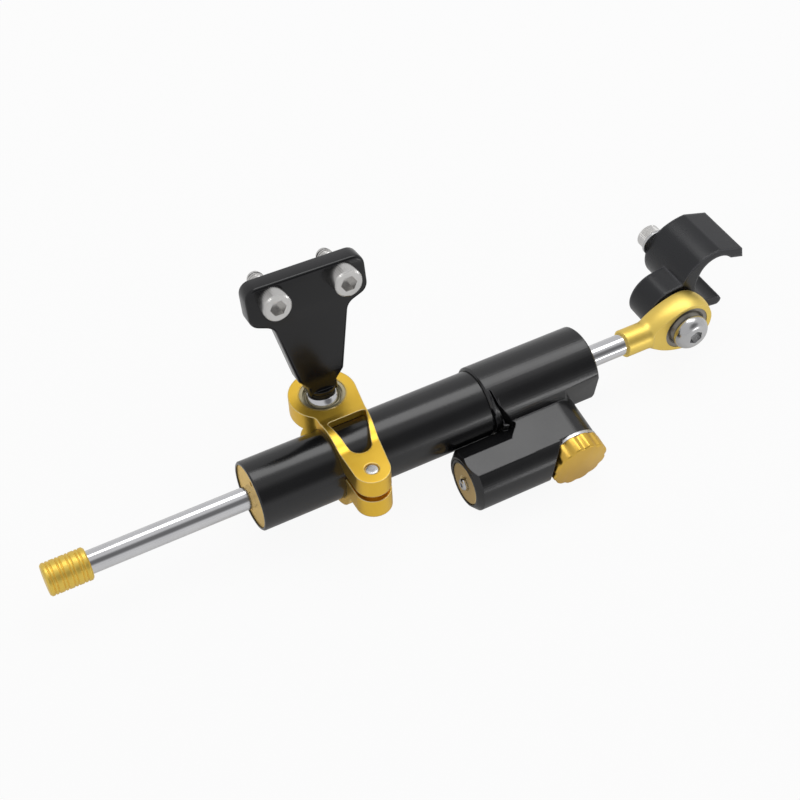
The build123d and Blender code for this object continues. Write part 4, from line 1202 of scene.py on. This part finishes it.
turns = [2 * pi * i / foot_sides for i in range(foot_sides)]
rings = [
    [shape.verts.new(in_metres(r * cos(a), along, r * sin(a))) for a in turns]
    for along, r in foot_profile
]
skinned(shape, rings)
bmesh.ops.recalc_face_normals(shape, faces=shape.faces)
shape.to_mesh(plate_mesh)
shape.free()
# Its edges are painted slightly paler, partly wear and partly a painted highlight
gloss_black = worked_metal(
    "gloss black bracket",
    colour=(0.0040, 0.0040, 0.0048),
    other=(0.0055, 0.0055, 0.0062),
    rough=(0.14, 0.22),
    marks=(500.0, 500.0, 500.0),
    wear_and_highlight=(0.0003, 1.5, (0.06, 0.06, 0.065)),
    shader={"Metallic": 0.0, "IOR": 1.5},
    mark_height=0.000002,
)
plate_mesh.materials.clear()
plate_mesh.materials.append(gloss_black)
bracket_plate = placed_mesh(
    "frame_bracket_plate",
    plate_mesh,
    frame_of(foot_centre, across_way, out_way),
)
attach(bracket_plate, "frame_bracket")
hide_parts("frame_bracket")

# Camera. It stands where the photograph was taken from, above and to the left of the damper, with
# a lens a little longer than the eye sees.
camera_data = bpy.data.cameras.new("camera")
camera_data.lens = 67.7
camera_data.sensor_width = 36.0
camera_data.clip_start = 0.01
camera_data.clip_end = 20.0
camera = bpy.data.objects.new("camera", camera_data)
bpy.context.scene.collection.objects.link(camera)
camera_place = (-0.1397, -0.2394, 0.4369)
camera_across = (0.881, -0.468, 0.065)
look_back = Vector((-0.313, -0.475, 0.822)).normalized()
camera.matrix_world = frame_of(camera_place, camera_across, look_back)
bpy.context.scene.camera = camera

# Floor. Plain white paper under the damper, which keeps its soft shadow. The camera sees it white,
# and polished metal mirrors it as a dim grey.
floor_gap = 0.0002
floor_height = cad_box[0].z - floor_gap
floor_half = 3.0
floor_mesh = bpy.data.meshes.new("floor")
floor_mesh.from_pydata(
    [
        (-floor_half, -floor_half, floor_height),
        (floor_half, -floor_half, floor_height),
        (floor_half, floor_half, floor_height),
        (-floor_half, floor_half, floor_height),
    ],
    [],
    [(0, 1, 2, 3)],
)
floor = bpy.data.objects.new("floor", floor_mesh)
bpy.context.scene.collection.objects.link(floor)
glow_in_camera = 0.93
glow_in_mirrors = 0.22
paper = bpy.data.materials.new("white paper")
paper.use_nodes = True
paper_tree = paper.node_tree
paper_shader = paper_tree.nodes["Principled BSDF"]
paper_shader.inputs["Base Color"].default_value = (0.74, 0.74, 0.74, 1)
paper_shader.inputs["Roughness"].default_value = 0.9
paper_glow = paper_tree.nodes.new("ShaderNodeEmission")
paper_glow.inputs["Strength"].default_value = 1.0
seen_by = paper_tree.nodes.new("ShaderNodeLightPath")
mirrored = math_node(
    paper_tree,
    "MAXIMUM",
    seen_by.outputs["Is Glossy Ray"],
    seen_by.outputs["Is Transmission Ray"],
)
glow_share = math_node(
    paper_tree,
    "MAXIMUM",
    math_node(paper_tree, "MULTIPLY", seen_by.outputs["Is Camera Ray"], glow_in_camera),
    math_node(paper_tree, "MULTIPLY", mirrored, glow_in_mirrors),
)
paper_mix = paper_tree.nodes.new("ShaderNodeMixShader")
paper_tree.links.new(glow_share, paper_mix.inputs[0])
paper_tree.links.new(paper_shader.outputs[0], paper_mix.inputs[1])
paper_tree.links.new(paper_glow.outputs[0], paper_mix.inputs[2])
paper_tree.links.new(paper_mix.outputs[0], paper_tree.nodes["Material Output"].inputs["Surface"])
floor_mesh.materials.append(paper)

# Light. A wide soft box overhead and a little behind, a small low one in front on the right, and
# an even pale room that is darker on the side where the photographer stands.
damper_middle = Vector((0.03, 0, 0))


def way_to(azimuth, elevation):
    """The way out to a point of the sky, given in degrees"""
    a, e = radians(azimuth), radians(elevation)
    return Vector((cos(a) * cos(e), sin(a) * cos(e), sin(e)))


def soft_box(name, azimuth, elevation, distance, wide, high, glow):
    """An area lamp that looks at the damper's middle. glow is how bright its face is."""
    lamp = bpy.data.lights.new(name, "AREA")
    lamp.shape = "RECTANGLE"
    lamp.size = wide
    lamp.size_y = high
    lamp.energy = glow * pi * wide * high
    holder = bpy.data.objects.new(name, lamp)
    bpy.context.scene.collection.objects.link(holder)
    way = way_to(azimuth, elevation)
    holder.matrix_world = frame_of(damper_middle + way * distance, (0, 0, 1), way)


soft_box(
    "overhead_box", azimuth=54.0, elevation=62.0, distance=0.95, wide=0.40, high=0.80, glow=2.35
)
soft_box("low_box", azimuth=-60.0, elevation=4.0, distance=1.1, wide=0.14, high=0.32, glow=4.2)
world = bpy.data.worlds.new("studio")
bpy.context.scene.world = world
world.use_nodes = True
world_tree = world.node_tree
room = world_tree.nodes["Background"]
sky_way = world_tree.nodes.new("ShaderNodeTexCoord").outputs["Generated"]
dark_way = world_tree.nodes.new("ShaderNodeVectorMath")
dark_way.operation = "DOT_PRODUCT"
world_tree.links.new(sky_way, dark_way.inputs[0])
dark_way.inputs[1].default_value = way_to(azimuth=-70.0, elevation=45.0)
room_tone = world_tree.nodes.new("ShaderNodeValToRGB")
world_tree.links.new(dark_way.outputs["Value"], room_tone.inputs["Fac"])
pale_stop, dark_stop = room_tone.color_ramp.elements
pale_stop.position = 0.86
pale_stop.color = (0.62, 0.62, 0.63, 1)
dark_stop.position = 0.97
dark_stop.color = (0.16, 0.16, 0.165, 1)
backdrop = world_tree.nodes.new("ShaderNodeBackground")
world_tree.links.new(room_tone.outputs[0], room.inputs["Color"])
room_seen = world_tree.nodes.new("ShaderNodeLightPath")
room_mix = world_tree.nodes.new("ShaderNodeMixShader")
backdrop.inputs["Color"].default_value = (1, 1, 1, 1)
world_tree.links.new(room_seen.outputs["Is Camera Ray"], room_mix.inputs[0])
world_tree.links.new(room.outputs[0], room_mix.inputs[1])
world_tree.links.new(backdrop.outputs[0], room_mix.inputs[2])
world_tree.links.new(room_mix.outputs[0], world_tree.nodes["World Output"].inputs["Surface"])
bpy.context.scene.view_settings.view_transform = "Standard"
